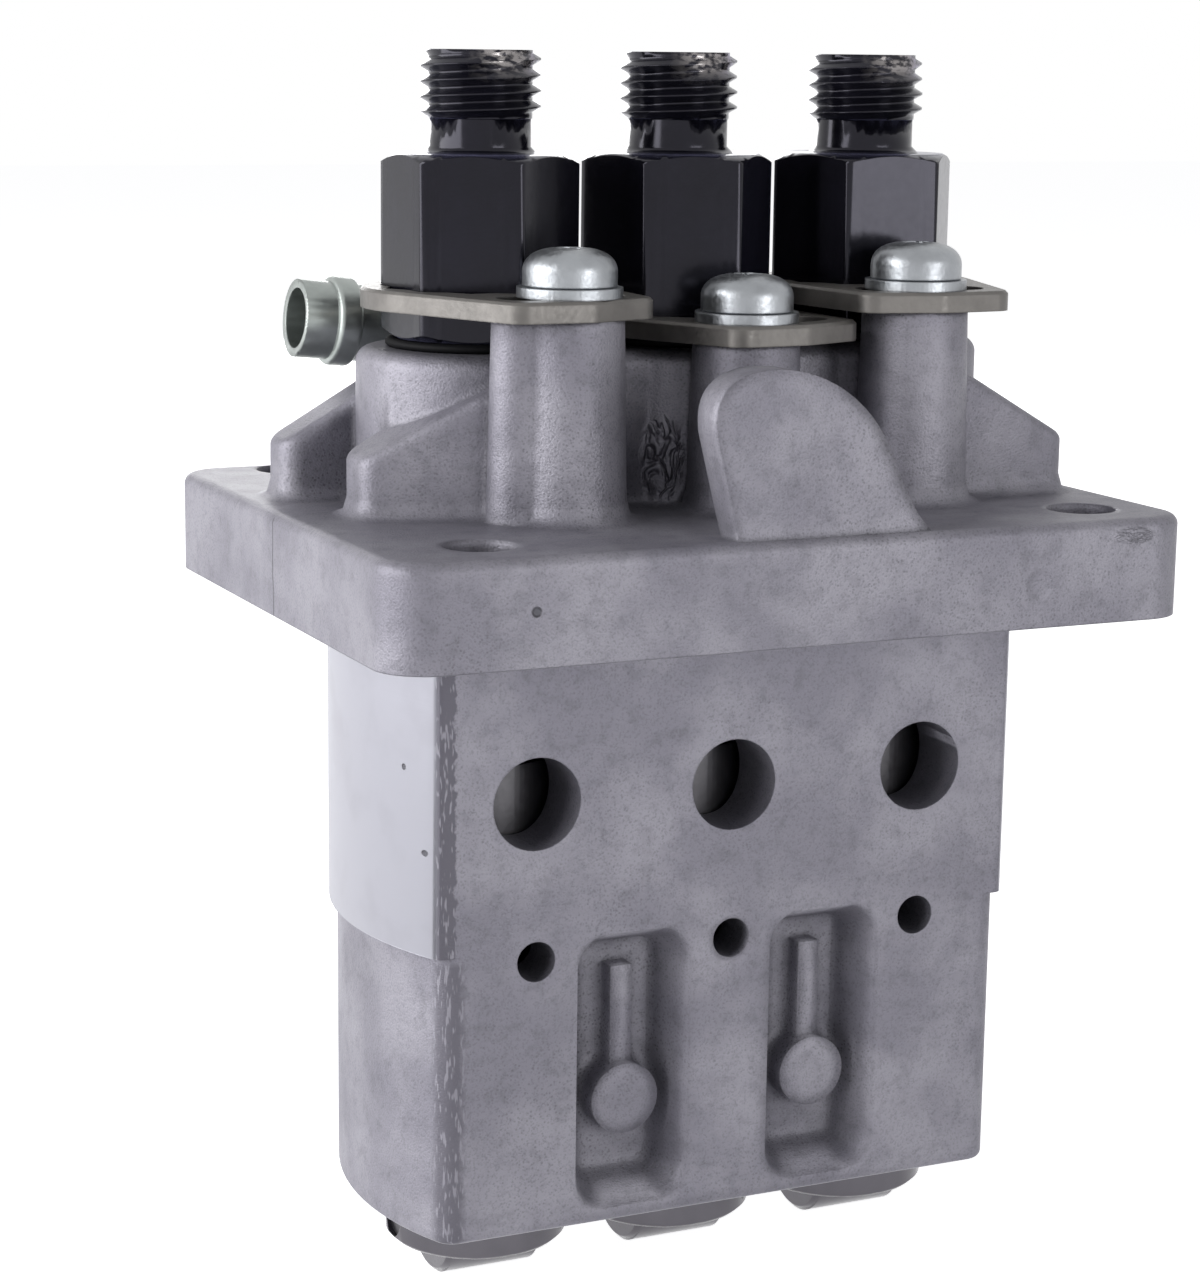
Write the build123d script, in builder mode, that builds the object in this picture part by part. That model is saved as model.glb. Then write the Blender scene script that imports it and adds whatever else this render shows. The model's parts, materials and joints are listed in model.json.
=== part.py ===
from build123d import *
import os
from math import asin, atan2, cos, degrees, radians, sin, tan

os.makedirs("parts", exist_ok=True)

# A block of three plunger pumps for a small diesel engine. The pump hangs by its
# flange in the crankcase and the camshaft turns under its three roller tappets.
# Millimetres. The origin is the centre of the flange bolts on the flange's
# underside, on the axis of the middle pump element. +X runs along the row of
# elements, +Y is the rack side and +Z points to the high-pressure outlets.

# Row of pump elements
element_pitch = 21.6
element_count = 3
element_numbers = range(1, element_count + 1)
middle_number = (element_count + 1) / 2
element_x = {number: element_pitch * (number - middle_number) for number in element_numbers}
between_elements = (-element_pitch / 2, element_pitch / 2)

# Flange, measured from the middle element
flange_left = 44.0
flange_right = 41.0
flange_front = 34.7
flange_back = 31.5
flange_thickness = 10.1
flange_corner_radius = 5.0
flange_edge_radius = 1.1
bolt_spacing_x = 65.0
bolt_spacing_y = 53.5
bolt_hole_radius = 3.5

# Spigot below the flange: turned ends above, rough cast ends below
body_depth = 31.0
body_length = 62.5
pilot_radius = 35.6
pilot_length = 32.6
cast_end_step = 0.9
pilot_corner_radius = 1.2
cast_corner_radius = 2.4
body_bottom_radius = 0.8

# Bosses that carry the delivery valve holders
boss_radius = 12.3
boss_top = 25.5
boss_edge_radius = 1.6
ridge_half_depth = 9.6

# Screw posts in front of the bosses, and the lug beside the first one
post_row_y = -15.0
post_row_x = 0.5
post_pitch = 19.0
post_radius = 5.3
post_draft = 1.3
lug_radius = 2.7
lug_gap = 0.2

# Webs from the end bosses to the flange
web_edge_radius = 1.0
web_corner_radius = 2.0
web_top_at_end = 15.8
web_slope = 30.0
web_width = 6.0
foot_spread = 1.6
foot_height = 1.8
foot_tiers = 2
left_web_end = -37.4
left_web_back = -3.2
left_web_front = -9.4
left_back_web_end = -40.4
right_web_end = 38.0
right_web_front = -15.6
right_back_web_end = 39.5
back_web_middle = 8.0

# Upright fin on the front edge of the flange
fin_thickness = 4.0
fin_setback = 1.1
fin_left = -9.1
fin_shoulder_x = -11.9
fin_shoulder_z = 20.0
fin_shoulder_round = 1.3
fin_crown_x = -5.2
fin_top = 25.9
fin_middle_x = 5.2
fin_middle_z = 20.0
fin_ankle_x = 8.9
fin_ankle_z = 12.8
fin_right = 12.4

# Pockets between the elements on both long sides
pocket_width = 12.6
pocket_top = 32.0
pocket_bottom = 61.0
pocket_depth = 5.4
pocket_draft = 24.0
pocket_corner_radius = 3.4
pocket_rib_width = 2.4
pocket_rib_height = 2.2
pocket_rib_top = 36.5
pocket_disc_radius = 3.7
pocket_disc_z = 50.3
pocket_disc_recess = 2.0

# Round openings in the front wall
window_radius = 4.68
window_z = 17.9
small_hole_radius = 2.05
small_hole_z = 33.95

# General clearances
running_clearance = 0.05
sliding_clearance = 0.1
seat_clearance = 0.05

# Delivery valve holder
thread_radius = 5.95
thread_length = 6.6
thread_chamfer = 0.7
neck_radius = 5.0
neck_length = 3.4
hex_across_flats = 17.0
hex_height = 18.0
hex_chamfer = 0.9
hex_angles = {1: 32.5, 2: 45.0, 3: 52.0}
seal_gap = 0.9
seal_radius = 8.75
seal_width = 1.2
seal_corner = 0.25
shank_radius = 8.0
outlet_bore_radius = 1.0
outlet_cone_radius = 3.6
outlet_cone_depth = 3.0
spring_chamber_radius = 3.7
spring_chamber_height = 19.0

# Plunger barrel and the fuel gallery around it
plunger_radius = 3.0
barrel_top = 3.0
barrel_head_length = 9.0
barrel_head_radius = 8.0
barrel_body_radius = 6.2
barrel_bottom = 20.0
port_radius = 0.9
port_depth = 4.5
gallery_groove_depth = 1.4
gallery_groove_height = 5.0
gallery_radius = 2.0
gallery_y = 6.5
dowel_radius = 0.7
dowel_length = 4.0

# Delivery valve, its seat and its spring
valve_seat_radius = 7.4
valve_seat_height = 5.0
valve_nose_radius = 4.6
valve_nose_height = 4.0
valve_nose_clearance = 0.4
valve_stem_radius = 2.6
valve_stem_length = 7.0
valve_flute_depth = 1.3
valve_head_radius = 3.2
valve_head_height = 2.0
valve_spigot_radius = 1.5
valve_spigot_height = 2.6
gasket_thickness = 1.0
valve_spring_coil_radius = 2.35
valve_spring_wire_radius = 0.4
valve_spring_turns = 5

# Control sleeve and its arm
sleeve_wall = 2.15
sleeve_top = 15.6
sleeve_bottom = 31.2
sleeve_slot_clearance = 0.15
arm_z = 19.6
arm_width = 5.0
arm_thickness = 2.8
arm_length = 14.2
arm_neck_radius = 1.2
arm_ball_radius = 2.0
arm_reach = 17.2
arm_window_width = 16.6
arm_window_height = 6.6

# Control rack on the back of the body, its guide screws and its link pin
rack_gap = 0.3
rack_thickness = 3.0
rack_top = 17.5
rack_bottom = 27.8
rack_left = -30.6
rack_right = 31.5
rack_corner_radius = 1.5
rack_notch_depth = 4.7
rack_notch_clearance = 0.16
rack_travel = 6.0
rack_guide_z = 25.0
rack_guide_radius = 1.7
rack_guide_head_radius = 3.2
rack_guide_head_height = 1.6
rack_guide_stub_length = 4.5
rack_guide_stub_radius = 1.3
rack_guide_play = 0.15
link_pin_x = 27.0
link_pin_radius = 2.0
link_pin_tail_radius = 1.6
link_pin_reach = 6.0

# Sleeve chamber, tappet bore and the upper spring seat between them
sleeve_chamber_radius = 8.9
tappet_bore_radius = 9.6
chamber_top = 13.0
spring_shoulder = 31.5
upper_seat_thickness = 1.8
upper_seat_hole_radius = 6.5
plunger_spring_coil_radius = 7.6
plunger_spring_wire_radius = 0.95
plunger_spring_turns = 4

# Plunger
plunger_top = 5.0
wing_span = 15.6
wing_thickness = 3.0
wing_bottom = 31.0
wing_height = 3.0
plunger_foot_radius = 4.4
plunger_foot_height = 1.8
plunger_neck_radius = 2.3
helix_depth = 0.8
helix_height = 6.0
helix_tilt = 35.0

# Tappet, roller and lower spring seat
tappet_top = 52.6
tappet_web = 3.1
tappet_chamfer = 0.6
foot_recess_radius = 5.0
foot_recess_depth = 2.6
tappet_groove_width = 3.4
tappet_groove_depth = 1.5
guide_pin_radius = 1.5
guide_pin_z = 58.0
lower_seat_thickness = 1.6
lower_seat_radius = 8.9
roller_radius = 6.4
roller_half_length = 5.3
roller_protrusion = 3.9
roller_edge = 0.5
roller_clearance = 0.3
roller_pin_radius = 2.0
roller_pin_half_length = 8.9

# Lock plates, their screws and washers
plate_thickness = 2.0
outer_plate_level = 29.4
middle_plate_level = 26.6
plate_ring_radius = 11.8
plate_ear_angle = {1: -80.5, 2: -76.5, 3: -95.5}
plate_ear_half_angle = 19.0
plate_ear_radius = 18.4
plate_ear_corner_radius = 2.3
plate_edge = 0.3
plate_slot_radius = 15.25
plate_slot_half_width = 2.75
plate_slot_sweep = 31.0
plate_hex_clearance = 0.15
washer_radius = 5.1
washer_thickness = 1.0
screw_radius = 2.45
screw_head_radius = 4.55
screw_head_height = 3.7
screw_crown_radius = 1.6
screw_engagement = 9.0

# Fuel inlet elbow behind the bosses
inlet_tube_radius = 4.0
inlet_bore_radius = 3.1
inlet_y = 16.7
inlet_end_x = -35.1
inlet_end_z = 27.2
inlet_tilt = 5.5
inlet_bead_radius = 4.6
inlet_bead_width = 2.6
inlet_bead_round = 0.55
inlet_bead_from_end = 4.6
inlet_bend_radius = 6.0
inlet_leg_x = between_elements[0]
inlet_boss_radius = 6.0
inlet_boss_top = 17.5
inlet_leg_depth = 6.0
inlet_drill_z = 4.0

# Heights that follow from the sizes above, z up
hex_bottom = boss_top + seal_gap
hex_top = hex_bottom + hex_height
thread_bottom = hex_top + neck_length
holder_top = thread_bottom + thread_length
valve_seat_top = barrel_top + valve_seat_height
valve_nose_top = valve_seat_top + valve_nose_height
holder_bottom = valve_seat_top + gasket_thickness
spring_chamber_top = valve_nose_top + spring_chamber_height
barrel_ledge = barrel_top - barrel_head_length
port_z = barrel_top - port_depth
valve_head_bottom = valve_nose_top + seat_clearance
valve_head_top = valve_head_bottom + valve_head_height
upper_seat_bottom = -spring_shoulder - upper_seat_thickness
lower_seat_top = lower_seat_thickness - tappet_top
foot_floor = -tappet_top - foot_recess_depth
foot_bottom = foot_floor + seat_clearance
roller_pocket_radius = roller_radius + roller_clearance
roller_z = foot_floor - tappet_web - roller_pocket_radius
tappet_bottom = roller_radius - roller_protrusion - roller_z
post_top = {
    number: middle_plate_level if number == middle_number else outer_plate_level
    for number in element_numbers
}
post_x = {number: post_row_x + post_pitch * (number - middle_number) for number in element_numbers}
screw_seat = {
    number: post_top[number] + plate_thickness + washer_thickness for number in element_numbers
}

# Depths along Y that follow
half_depth = body_depth / 2
rack_face = half_depth + rack_gap
rack_back = rack_face + rack_thickness
rack_middle_z = -(rack_top + rack_bottom) / 2
rack_guide_back = rack_back + seat_clearance + sliding_clearance

# Radii that follow
element_bore_radius = shank_radius + sliding_clearance
sleeve_bore_radius = barrel_body_radius + running_clearance
sleeve_radius = sleeve_bore_radius + sleeve_wall
tappet_radius = tappet_bore_radius - sliding_clearance
post_hole_radius = screw_radius + running_clearance
post_foot_radius = {
    number: post_radius + (post_top[number] - flange_thickness) * tan(radians(post_draft))
    for number in element_numbers
}
arm_swing = degrees(asin(rack_travel / arm_reach))
print("The control arms swing", round(arm_swing, 2), "degrees each way")


def element_plane(number):
    """The upright plane through an element's axis: sketch x is its radius, y its height."""
    return Plane(origin=(element_x[number], 0, 0), x_dir=(1, 0, 0), z_dir=(0, -1, 0))


def element_axis(number):
    return Axis((element_x[number], 0, 0), (0, 0, 1))


def facing_back(y):
    """A sketch plane at depth y that extrudes towards +Y; its sketch y points down."""
    return Plane(origin=(0, y, 0), x_dir=(1, 0, 0), z_dir=(0, 1, 0))


def facing_front(y):
    """A sketch plane at depth y that extrudes towards the front; its sketch y points up."""
    return Plane(origin=(0, y, 0), x_dir=(1, 0, 0), z_dir=(0, -1, 0))


def outline(*points):
    """A closed face from straight lines, placed by the sketch's own coordinates."""
    Polygon(*points, align=None)


def bracing_web(plan, end):
    """A web on the flange whose top slopes up from its end towards the bosses."""
    with BuildPart() as web:
        with BuildSketch(Plane.XY.offset(flange_thickness - flange_edge_radius)) as shape:
            outline(*plan)
            fillet(shape.vertices(), web_corner_radius)
        extrude(amount=boss_top)
        rise = abs(end) * tan(radians(web_slope))
        with BuildSketch(facing_front(flange_front)):
            outline(
                (0, 0),
                (2 * end, 0),
                (2 * end, web_top_at_end - rise),
                (0, web_top_at_end + rise),
            )
        extrude(amount=2 * flange_front, mode=Mode.INTERSECT)
        fillet(web.faces().sort_by(Axis.Z)[-1].edges(), web_edge_radius)
    return web.part


# Webs at both ends of the row of bosses. The front left one runs into the lug.
lug_x = post_x[1] - post_radius + lug_gap
back_web_root = element_pitch + boss_radius / 2
lug_y = post_row_y + lug_gap
front_left_web = bracing_web(
    [
        (left_web_end, left_web_back),
        (left_web_end, left_web_front),
        (lug_x - lug_radius, lug_y + lug_radius / 2),
        (-element_pitch, lug_y + lug_radius),
        (-element_pitch, left_web_back),
    ],
    left_web_end,
)
back_left_web = bracing_web(
    [
        (left_back_web_end, back_web_middle - web_width / 2),
        (-back_web_root, back_web_middle - web_width / 2),
        (-back_web_root, back_web_middle + web_width / 2),
        (left_back_web_end, back_web_middle + web_width / 2),
    ],
    left_back_web_end,
)
front_right_web = bracing_web(
    [
        (right_web_end, right_web_front),
        (right_web_end, right_web_front + web_width),
        (element_pitch, right_web_front + web_width),
        (element_pitch, right_web_front),
    ],
    right_web_end,
)
back_right_web = bracing_web(
    [
        (right_back_web_end, back_web_middle - web_width / 2),
        (back_web_root, back_web_middle - web_width / 2),
        (back_web_root, back_web_middle + web_width / 2),
        (right_back_web_end, back_web_middle + web_width / 2),
    ],
    right_back_web_end,
)

bracing_webs = (front_left_web, back_left_web, front_right_web, back_right_web)


def boss_row():
    """Plan of the bosses in a row and the ridge that joins them, inside a sketch."""
    with Locations(*[(x, 0) for x in element_x.values()]):
        Circle(boss_radius)
    Rectangle(2 * element_pitch, 2 * ridge_half_depth)


# Housing
with BuildPart() as pump_housing:
    # Flange with rounded upright corners and a soft top edge
    with BuildSketch() as flange_outline:
        with Locations(((flange_right - flange_left) / 2, (flange_back - flange_front) / 2)):
            Rectangle(flange_left + flange_right, flange_front + flange_back)
        fillet(flange_outline.vertices(), flange_corner_radius)
    extrude(amount=flange_thickness)
    fillet(pump_housing.edges().group_by(Axis.Z)[-1], flange_edge_radius)

    # Turned part of the spigot: a disc cut to the depth of the body
    with BuildSketch() as pilot_outline:
        Circle(pilot_radius)
        Rectangle(2 * pilot_radius, body_depth, mode=Mode.INTERSECT)
        fillet(pilot_outline.vertices(), pilot_corner_radius)
    extrude(amount=-pilot_length)

    # Cast part below the turned ends, a little smaller
    with BuildSketch(Plane.XY.offset(-pilot_length)) as cast_outline:
        Circle(pilot_radius - cast_end_step)
        Rectangle(2 * pilot_radius, body_depth, mode=Mode.INTERSECT)
        fillet(cast_outline.vertices(), cast_corner_radius)
    extrude(amount=pilot_length - body_length)
    fillet(pump_housing.edges().group_by(Axis.Z)[0], body_bottom_radius)

    # Pockets between the elements, front and back, each with a rib and a round pad
    pocket_middle = -(pocket_top + pocket_bottom) / 2
    pocket_height = pocket_bottom - pocket_top
    for side in (-1, 1):
        if side < 0:
            outer = facing_back(-half_depth)
            floor = facing_front(pocket_depth - half_depth)
        else:
            outer = facing_front(half_depth)
            floor = facing_back(half_depth - pocket_depth)
        with BuildSketch(outer):
            with Locations(*[(x, side * pocket_middle) for x in between_elements]):
                RectangleRounded(pocket_width, pocket_height, pocket_corner_radius)
        extrude(amount=pocket_depth, taper=pocket_draft, mode=Mode.SUBTRACT)
        with BuildSketch(floor):
            rib_length = pocket_disc_z - pocket_rib_top
            with Locations(*[(x, side * (pocket_rib_top + rib_length / 2)) for x in between_elements]):
                Rectangle(pocket_rib_width, rib_length)
        extrude(amount=pocket_rib_height)
        with BuildSketch(floor):
            with Locations(*[(x, side * pocket_disc_z) for x in between_elements]):
                Circle(pocket_disc_radius)
        extrude(amount=pocket_depth - pocket_disc_recess)

    # Bosses in a row, joined by a narrower ridge, and the boss of the fuel inlet
    with BuildSketch(Plane.XY.offset(flange_thickness)):
        boss_row()
    extrude(amount=boss_top - flange_thickness)
    fillet(pump_housing.edges().group_by(Axis.Z)[-1], boss_edge_radius)
    with BuildSketch(Plane.XY.offset(flange_thickness)):
        with Locations((inlet_leg_x, inlet_y)):
            Circle(inlet_boss_radius)
        with Locations((inlet_leg_x, inlet_y / 2)):
            Rectangle(2 * inlet_boss_radius, inlet_y)
    extrude(amount=inlet_boss_top - flange_thickness)

    # Bracing webs
    for web in bracing_webs:
        add(web)

    # Screw posts with draft, drawn from their tops down to the flange
    for number in element_numbers:
        with BuildSketch(Plane.XY.offset(post_top[number])):
            with Locations((post_x[number], post_row_y)):
                Circle(post_radius)
        extrude(amount=flange_thickness - post_top[number], taper=-post_draft)
    with BuildSketch(Plane.XY.offset(post_top[1])):
        with Locations((lug_x, lug_y)):
            Circle(lug_radius)
    extrude(amount=flange_thickness - post_top[1], taper=-post_draft)

    # Everything that stands on the flange flares out at its foot, as the die's corners do
    for tier in range(foot_tiers):
        low = tier / foot_tiers
        high = (tier + 1) / foot_tiers
        spread = foot_spread * (1 - low) ** 2
        spread_above = foot_spread * (1 - high) ** 2
        rise = foot_height * (high**2 - low**2)
        with BuildSketch(Plane.XY.offset(flange_thickness + foot_height * low**2)):
            boss_row()
            for web in bracing_webs:
                add(-web.faces().sort_by(Axis.Z)[0])
            for number in element_numbers:
                with Locations((post_x[number], post_row_y)):
                    Circle(post_foot_radius[number])
            offset(amount=spread)
        extrude(amount=rise, taper=degrees(atan2(spread - spread_above, rise)))

    # Fin: a straight left edge, a round shoulder and a long curved right edge
    fin_front = fin_setback - flange_front
    fin_foot = flange_thickness - flange_edge_radius
    with BuildSketch(facing_back(fin_front)):
        with BuildLine():
            Line((fin_left, -fin_foot), (fin_shoulder_x, -fin_shoulder_z))
            Spline(
                (fin_shoulder_x, -fin_shoulder_z),
                (fin_shoulder_x + fin_shoulder_round, fin_shoulder_round - fin_top),
                (fin_crown_x, -fin_top),
                (fin_middle_x, -fin_middle_z),
                (fin_ankle_x, -fin_ankle_z),
                (fin_right, -fin_foot),
            )
            Line((fin_right, -fin_foot), (fin_left, -fin_foot))
        make_face()
    extrude(amount=fin_thickness)

    # Stepped bore of each element, from the boss down to the open tappet bore
    for number in element_numbers:
        with BuildSketch(element_plane(number)):
            outline(
                (0, boss_top + boss_edge_radius),
                (element_bore_radius, boss_top + boss_edge_radius),
                (element_bore_radius, port_z + gallery_groove_height / 2),
                (element_bore_radius + gallery_groove_depth, port_z + gallery_groove_height / 2),
                (element_bore_radius + gallery_groove_depth, port_z - gallery_groove_height / 2),
                (element_bore_radius, port_z - gallery_groove_height / 2),
                (element_bore_radius, barrel_ledge),
                (barrel_body_radius + sliding_clearance, barrel_ledge),
                (barrel_body_radius + sliding_clearance, -chamber_top),
                (sleeve_chamber_radius, -chamber_top),
                (sleeve_chamber_radius, -spring_shoulder),
                (tappet_bore_radius, -spring_shoulder),
                (tappet_bore_radius, -body_length - body_bottom_radius),
                (0, -body_length - body_bottom_radius),
            )
        revolve(axis=element_axis(number), mode=Mode.SUBTRACT)

    # Dowel holes in the ledges
    dowel_y = -(barrel_body_radius + element_bore_radius) / 2
    with BuildSketch(Plane.XY.offset(barrel_ledge)):
        with Locations(*[(x, dowel_y) for x in element_x.values()]):
            Circle(dowel_radius + running_clearance)
    extrude(amount=-dowel_length / 2, mode=Mode.SUBTRACT)

    # Gallery: down the inlet boss, across, down and along the row
    with BuildSketch(Plane.XY.offset(inlet_boss_top)):
        with Locations((inlet_leg_x, inlet_y)):
            Circle(inlet_tube_radius + running_clearance)
    extrude(amount=-inlet_leg_depth, mode=Mode.SUBTRACT)
    with BuildSketch(Plane.XY.offset(inlet_boss_top)):
        with Locations((inlet_leg_x, inlet_y)):
            Circle(gallery_radius)
    extrude(amount=inlet_drill_z - inlet_boss_top, mode=Mode.SUBTRACT)
    with BuildSketch(facing_back(gallery_y)):
        with Locations((inlet_leg_x, -inlet_drill_z)):
            Circle(gallery_radius)
    extrude(amount=inlet_y - gallery_y, mode=Mode.SUBTRACT)
    with BuildSketch(Plane.XY.offset(inlet_drill_z)):
        with Locations((inlet_leg_x, gallery_y)):
            Circle(gallery_radius)
    extrude(amount=port_z - inlet_drill_z, mode=Mode.SUBTRACT)
    with BuildSketch(Plane.YZ.offset(-element_pitch)):
        with Locations((gallery_y, port_z)):
            Circle(gallery_radius)
    extrude(amount=2 * element_pitch, mode=Mode.SUBTRACT)

    # Openings in the front wall
    for hole_radius, hole_z, wall_radius in (
        (window_radius, window_z, sleeve_chamber_radius),
        (small_hole_radius, small_hole_z, tappet_bore_radius),
    ):
        with BuildSketch(facing_back(-half_depth)):
            with Locations(*[(x, hole_z) for x in element_x.values()]):
                Circle(hole_radius)
        extrude(amount=half_depth - wall_radius / 2, mode=Mode.SUBTRACT)

    # Windows in the back wall for the control arms
    with BuildSketch(facing_front(half_depth)):
        with Locations(*[(x, -arm_z) for x in element_x.values()]):
            Rectangle(arm_window_width, arm_window_height)
    extrude(amount=half_depth - sleeve_chamber_radius / 2, mode=Mode.SUBTRACT)

    # Holes for the rack's guide screws and for the tappets' guide pins
    with BuildSketch(facing_front(half_depth)):
        with Locations(*[(x, -rack_guide_z) for x in between_elements]):
            Circle(rack_guide_stub_radius + running_clearance)
    extrude(amount=rack_guide_stub_length + seat_clearance, mode=Mode.SUBTRACT)
    with BuildSketch(facing_front(half_depth)):
        with Locations(*[(x, -guide_pin_z) for x in element_x.values()]):
            Circle(guide_pin_radius + running_clearance)
    extrude(amount=half_depth - tappet_bore_radius / 2, mode=Mode.SUBTRACT)

    # Screw holes in the posts and bolt holes in the flange
    for number in element_numbers:
        with BuildSketch(Plane.XY.offset(post_top[number])):
            with Locations((post_x[number], post_row_y)):
                Circle(post_hole_radius)
        extrude(amount=-screw_engagement - screw_radius, mode=Mode.SUBTRACT)
    with BuildSketch(Plane.XY.offset(flange_thickness)):
        with GridLocations(bolt_spacing_x, bolt_spacing_y, 2, 2):
            Circle(bolt_hole_radius)
    extrude(amount=-flange_thickness, mode=Mode.SUBTRACT)
pump_housing.part.label = "pump_housing"
export_step(pump_housing.part, "parts/pump_housing.step")

# Delivery valve holders
for number in element_numbers:
    with BuildPart() as holder:
        with BuildSketch(Plane.XY.offset(hex_bottom)):
            with Locations((element_x[number], 0)):
                RegularPolygon(
                    hex_across_flats / 2, 6, major_radius=False, rotation=hex_angles[number]
                )
        extrude(amount=hex_height)
        # The corners of the hexagon are turned off at both ends
        corner_radius = hex_across_flats / 2 / cos(radians(30))
        flat_radius = corner_radius - hex_chamfer / tan(radians(30))
        with BuildSketch(element_plane(number)):
            outline(
                (0, hex_bottom),
                (flat_radius, hex_bottom),
                (corner_radius, hex_bottom + hex_chamfer),
                (corner_radius, hex_top - hex_chamfer),
                (flat_radius, hex_top),
                (0, hex_top),
            )
        revolve(axis=element_axis(number), mode=Mode.INTERSECT)
        # Shank below, neck and thread above
        with BuildSketch(element_plane(number)):
            outline(
                (0, holder_bottom),
                (shank_radius, holder_bottom),
                (shank_radius, hex_bottom),
                (neck_radius + thread_chamfer, hex_bottom + hex_height),
                (neck_radius, hex_top + thread_chamfer),
                (neck_radius, thread_bottom),
                (thread_radius, thread_bottom),
                (thread_radius, holder_top - thread_chamfer),
                (thread_radius - thread_chamfer, holder_top),
                (0, holder_top),
            )
        revolve(axis=element_axis(number))
        # Room for the valve seat's nose and the valve spring, then the outlet and its cone
        with BuildSketch(element_plane(number)):
            outline(
                (0, holder_bottom),
                (valve_nose_radius + valve_nose_clearance, holder_bottom),
                (valve_nose_radius + valve_nose_clearance, valve_nose_top + valve_nose_clearance),
                (spring_chamber_radius, valve_nose_top + valve_nose_clearance),
                (spring_chamber_radius, spring_chamber_top),
                (outlet_bore_radius, spring_chamber_top),
                (outlet_bore_radius, holder_top - outlet_cone_depth),
                (outlet_cone_radius, holder_top),
                (0, holder_top),
            )
        revolve(axis=element_axis(number), mode=Mode.SUBTRACT)
    holder.part.label = f"delivery_valve_holder_{number}"
    export_step(holder.part, f"parts/delivery_valve_holder_{number}.step")

# Seal ring under each hexagon, on the boss
with BuildPart() as holder_seals:
    for number in element_numbers:
        with BuildSketch(element_plane(number)) as seal_section:
            with Locations((seal_radius, boss_top + seal_gap / 2)):
                Rectangle(seal_width, seal_gap - seat_clearance)
            chamfer(seal_section.vertices(), seal_corner)
        revolve(axis=element_axis(number))
holder_seals.part.label = "holder_seals"
export_step(holder_seals.part, "parts/holder_seals.step")

# Copper gasket between each valve seat and its holder
with BuildPart() as valve_seat_gaskets:
    for number in element_numbers:
        with BuildSketch(Plane.XY.offset(valve_seat_top)):
            with Locations((element_x[number], 0)):
                Circle(valve_seat_radius)
                Circle(valve_nose_radius + valve_nose_clearance, mode=Mode.SUBTRACT)
        extrude(amount=gasket_thickness)
valve_seat_gaskets.part.label = "valve_seat_gaskets"
export_step(valve_seat_gaskets.part, "parts/valve_seat_gaskets.step")

# Dowels that keep the barrels from turning
with BuildPart() as barrel_dowels:
    with BuildSketch(Plane.XY.offset(barrel_ledge - dowel_length / 2)):
        with Locations(*[(x, dowel_y) for x in element_x.values()]):
            Circle(dowel_radius)
    extrude(amount=dowel_length)
barrel_dowels.part.label = "barrel_dowels"
export_step(barrel_dowels.part, "parts/barrel_dowels.step")


def coil_spring(number, low, high, coil_radius, wire_radius, turns):
    """A coil spring around an element's axis, between two flat seats."""
    rise = high - low - 2 * wire_radius
    with BuildPart() as spring:
        with BuildLine() as wire:
            Helix(rise / turns, rise, coil_radius, center=(element_x[number], 0, low + wire_radius))
        with BuildSketch(Plane(origin=wire.line @ 0, z_dir=wire.line % 0)):
            RegularPolygon(wire_radius, 6)
        sweep(path=wire.line, is_frenet=True)
    return spring.part


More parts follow.
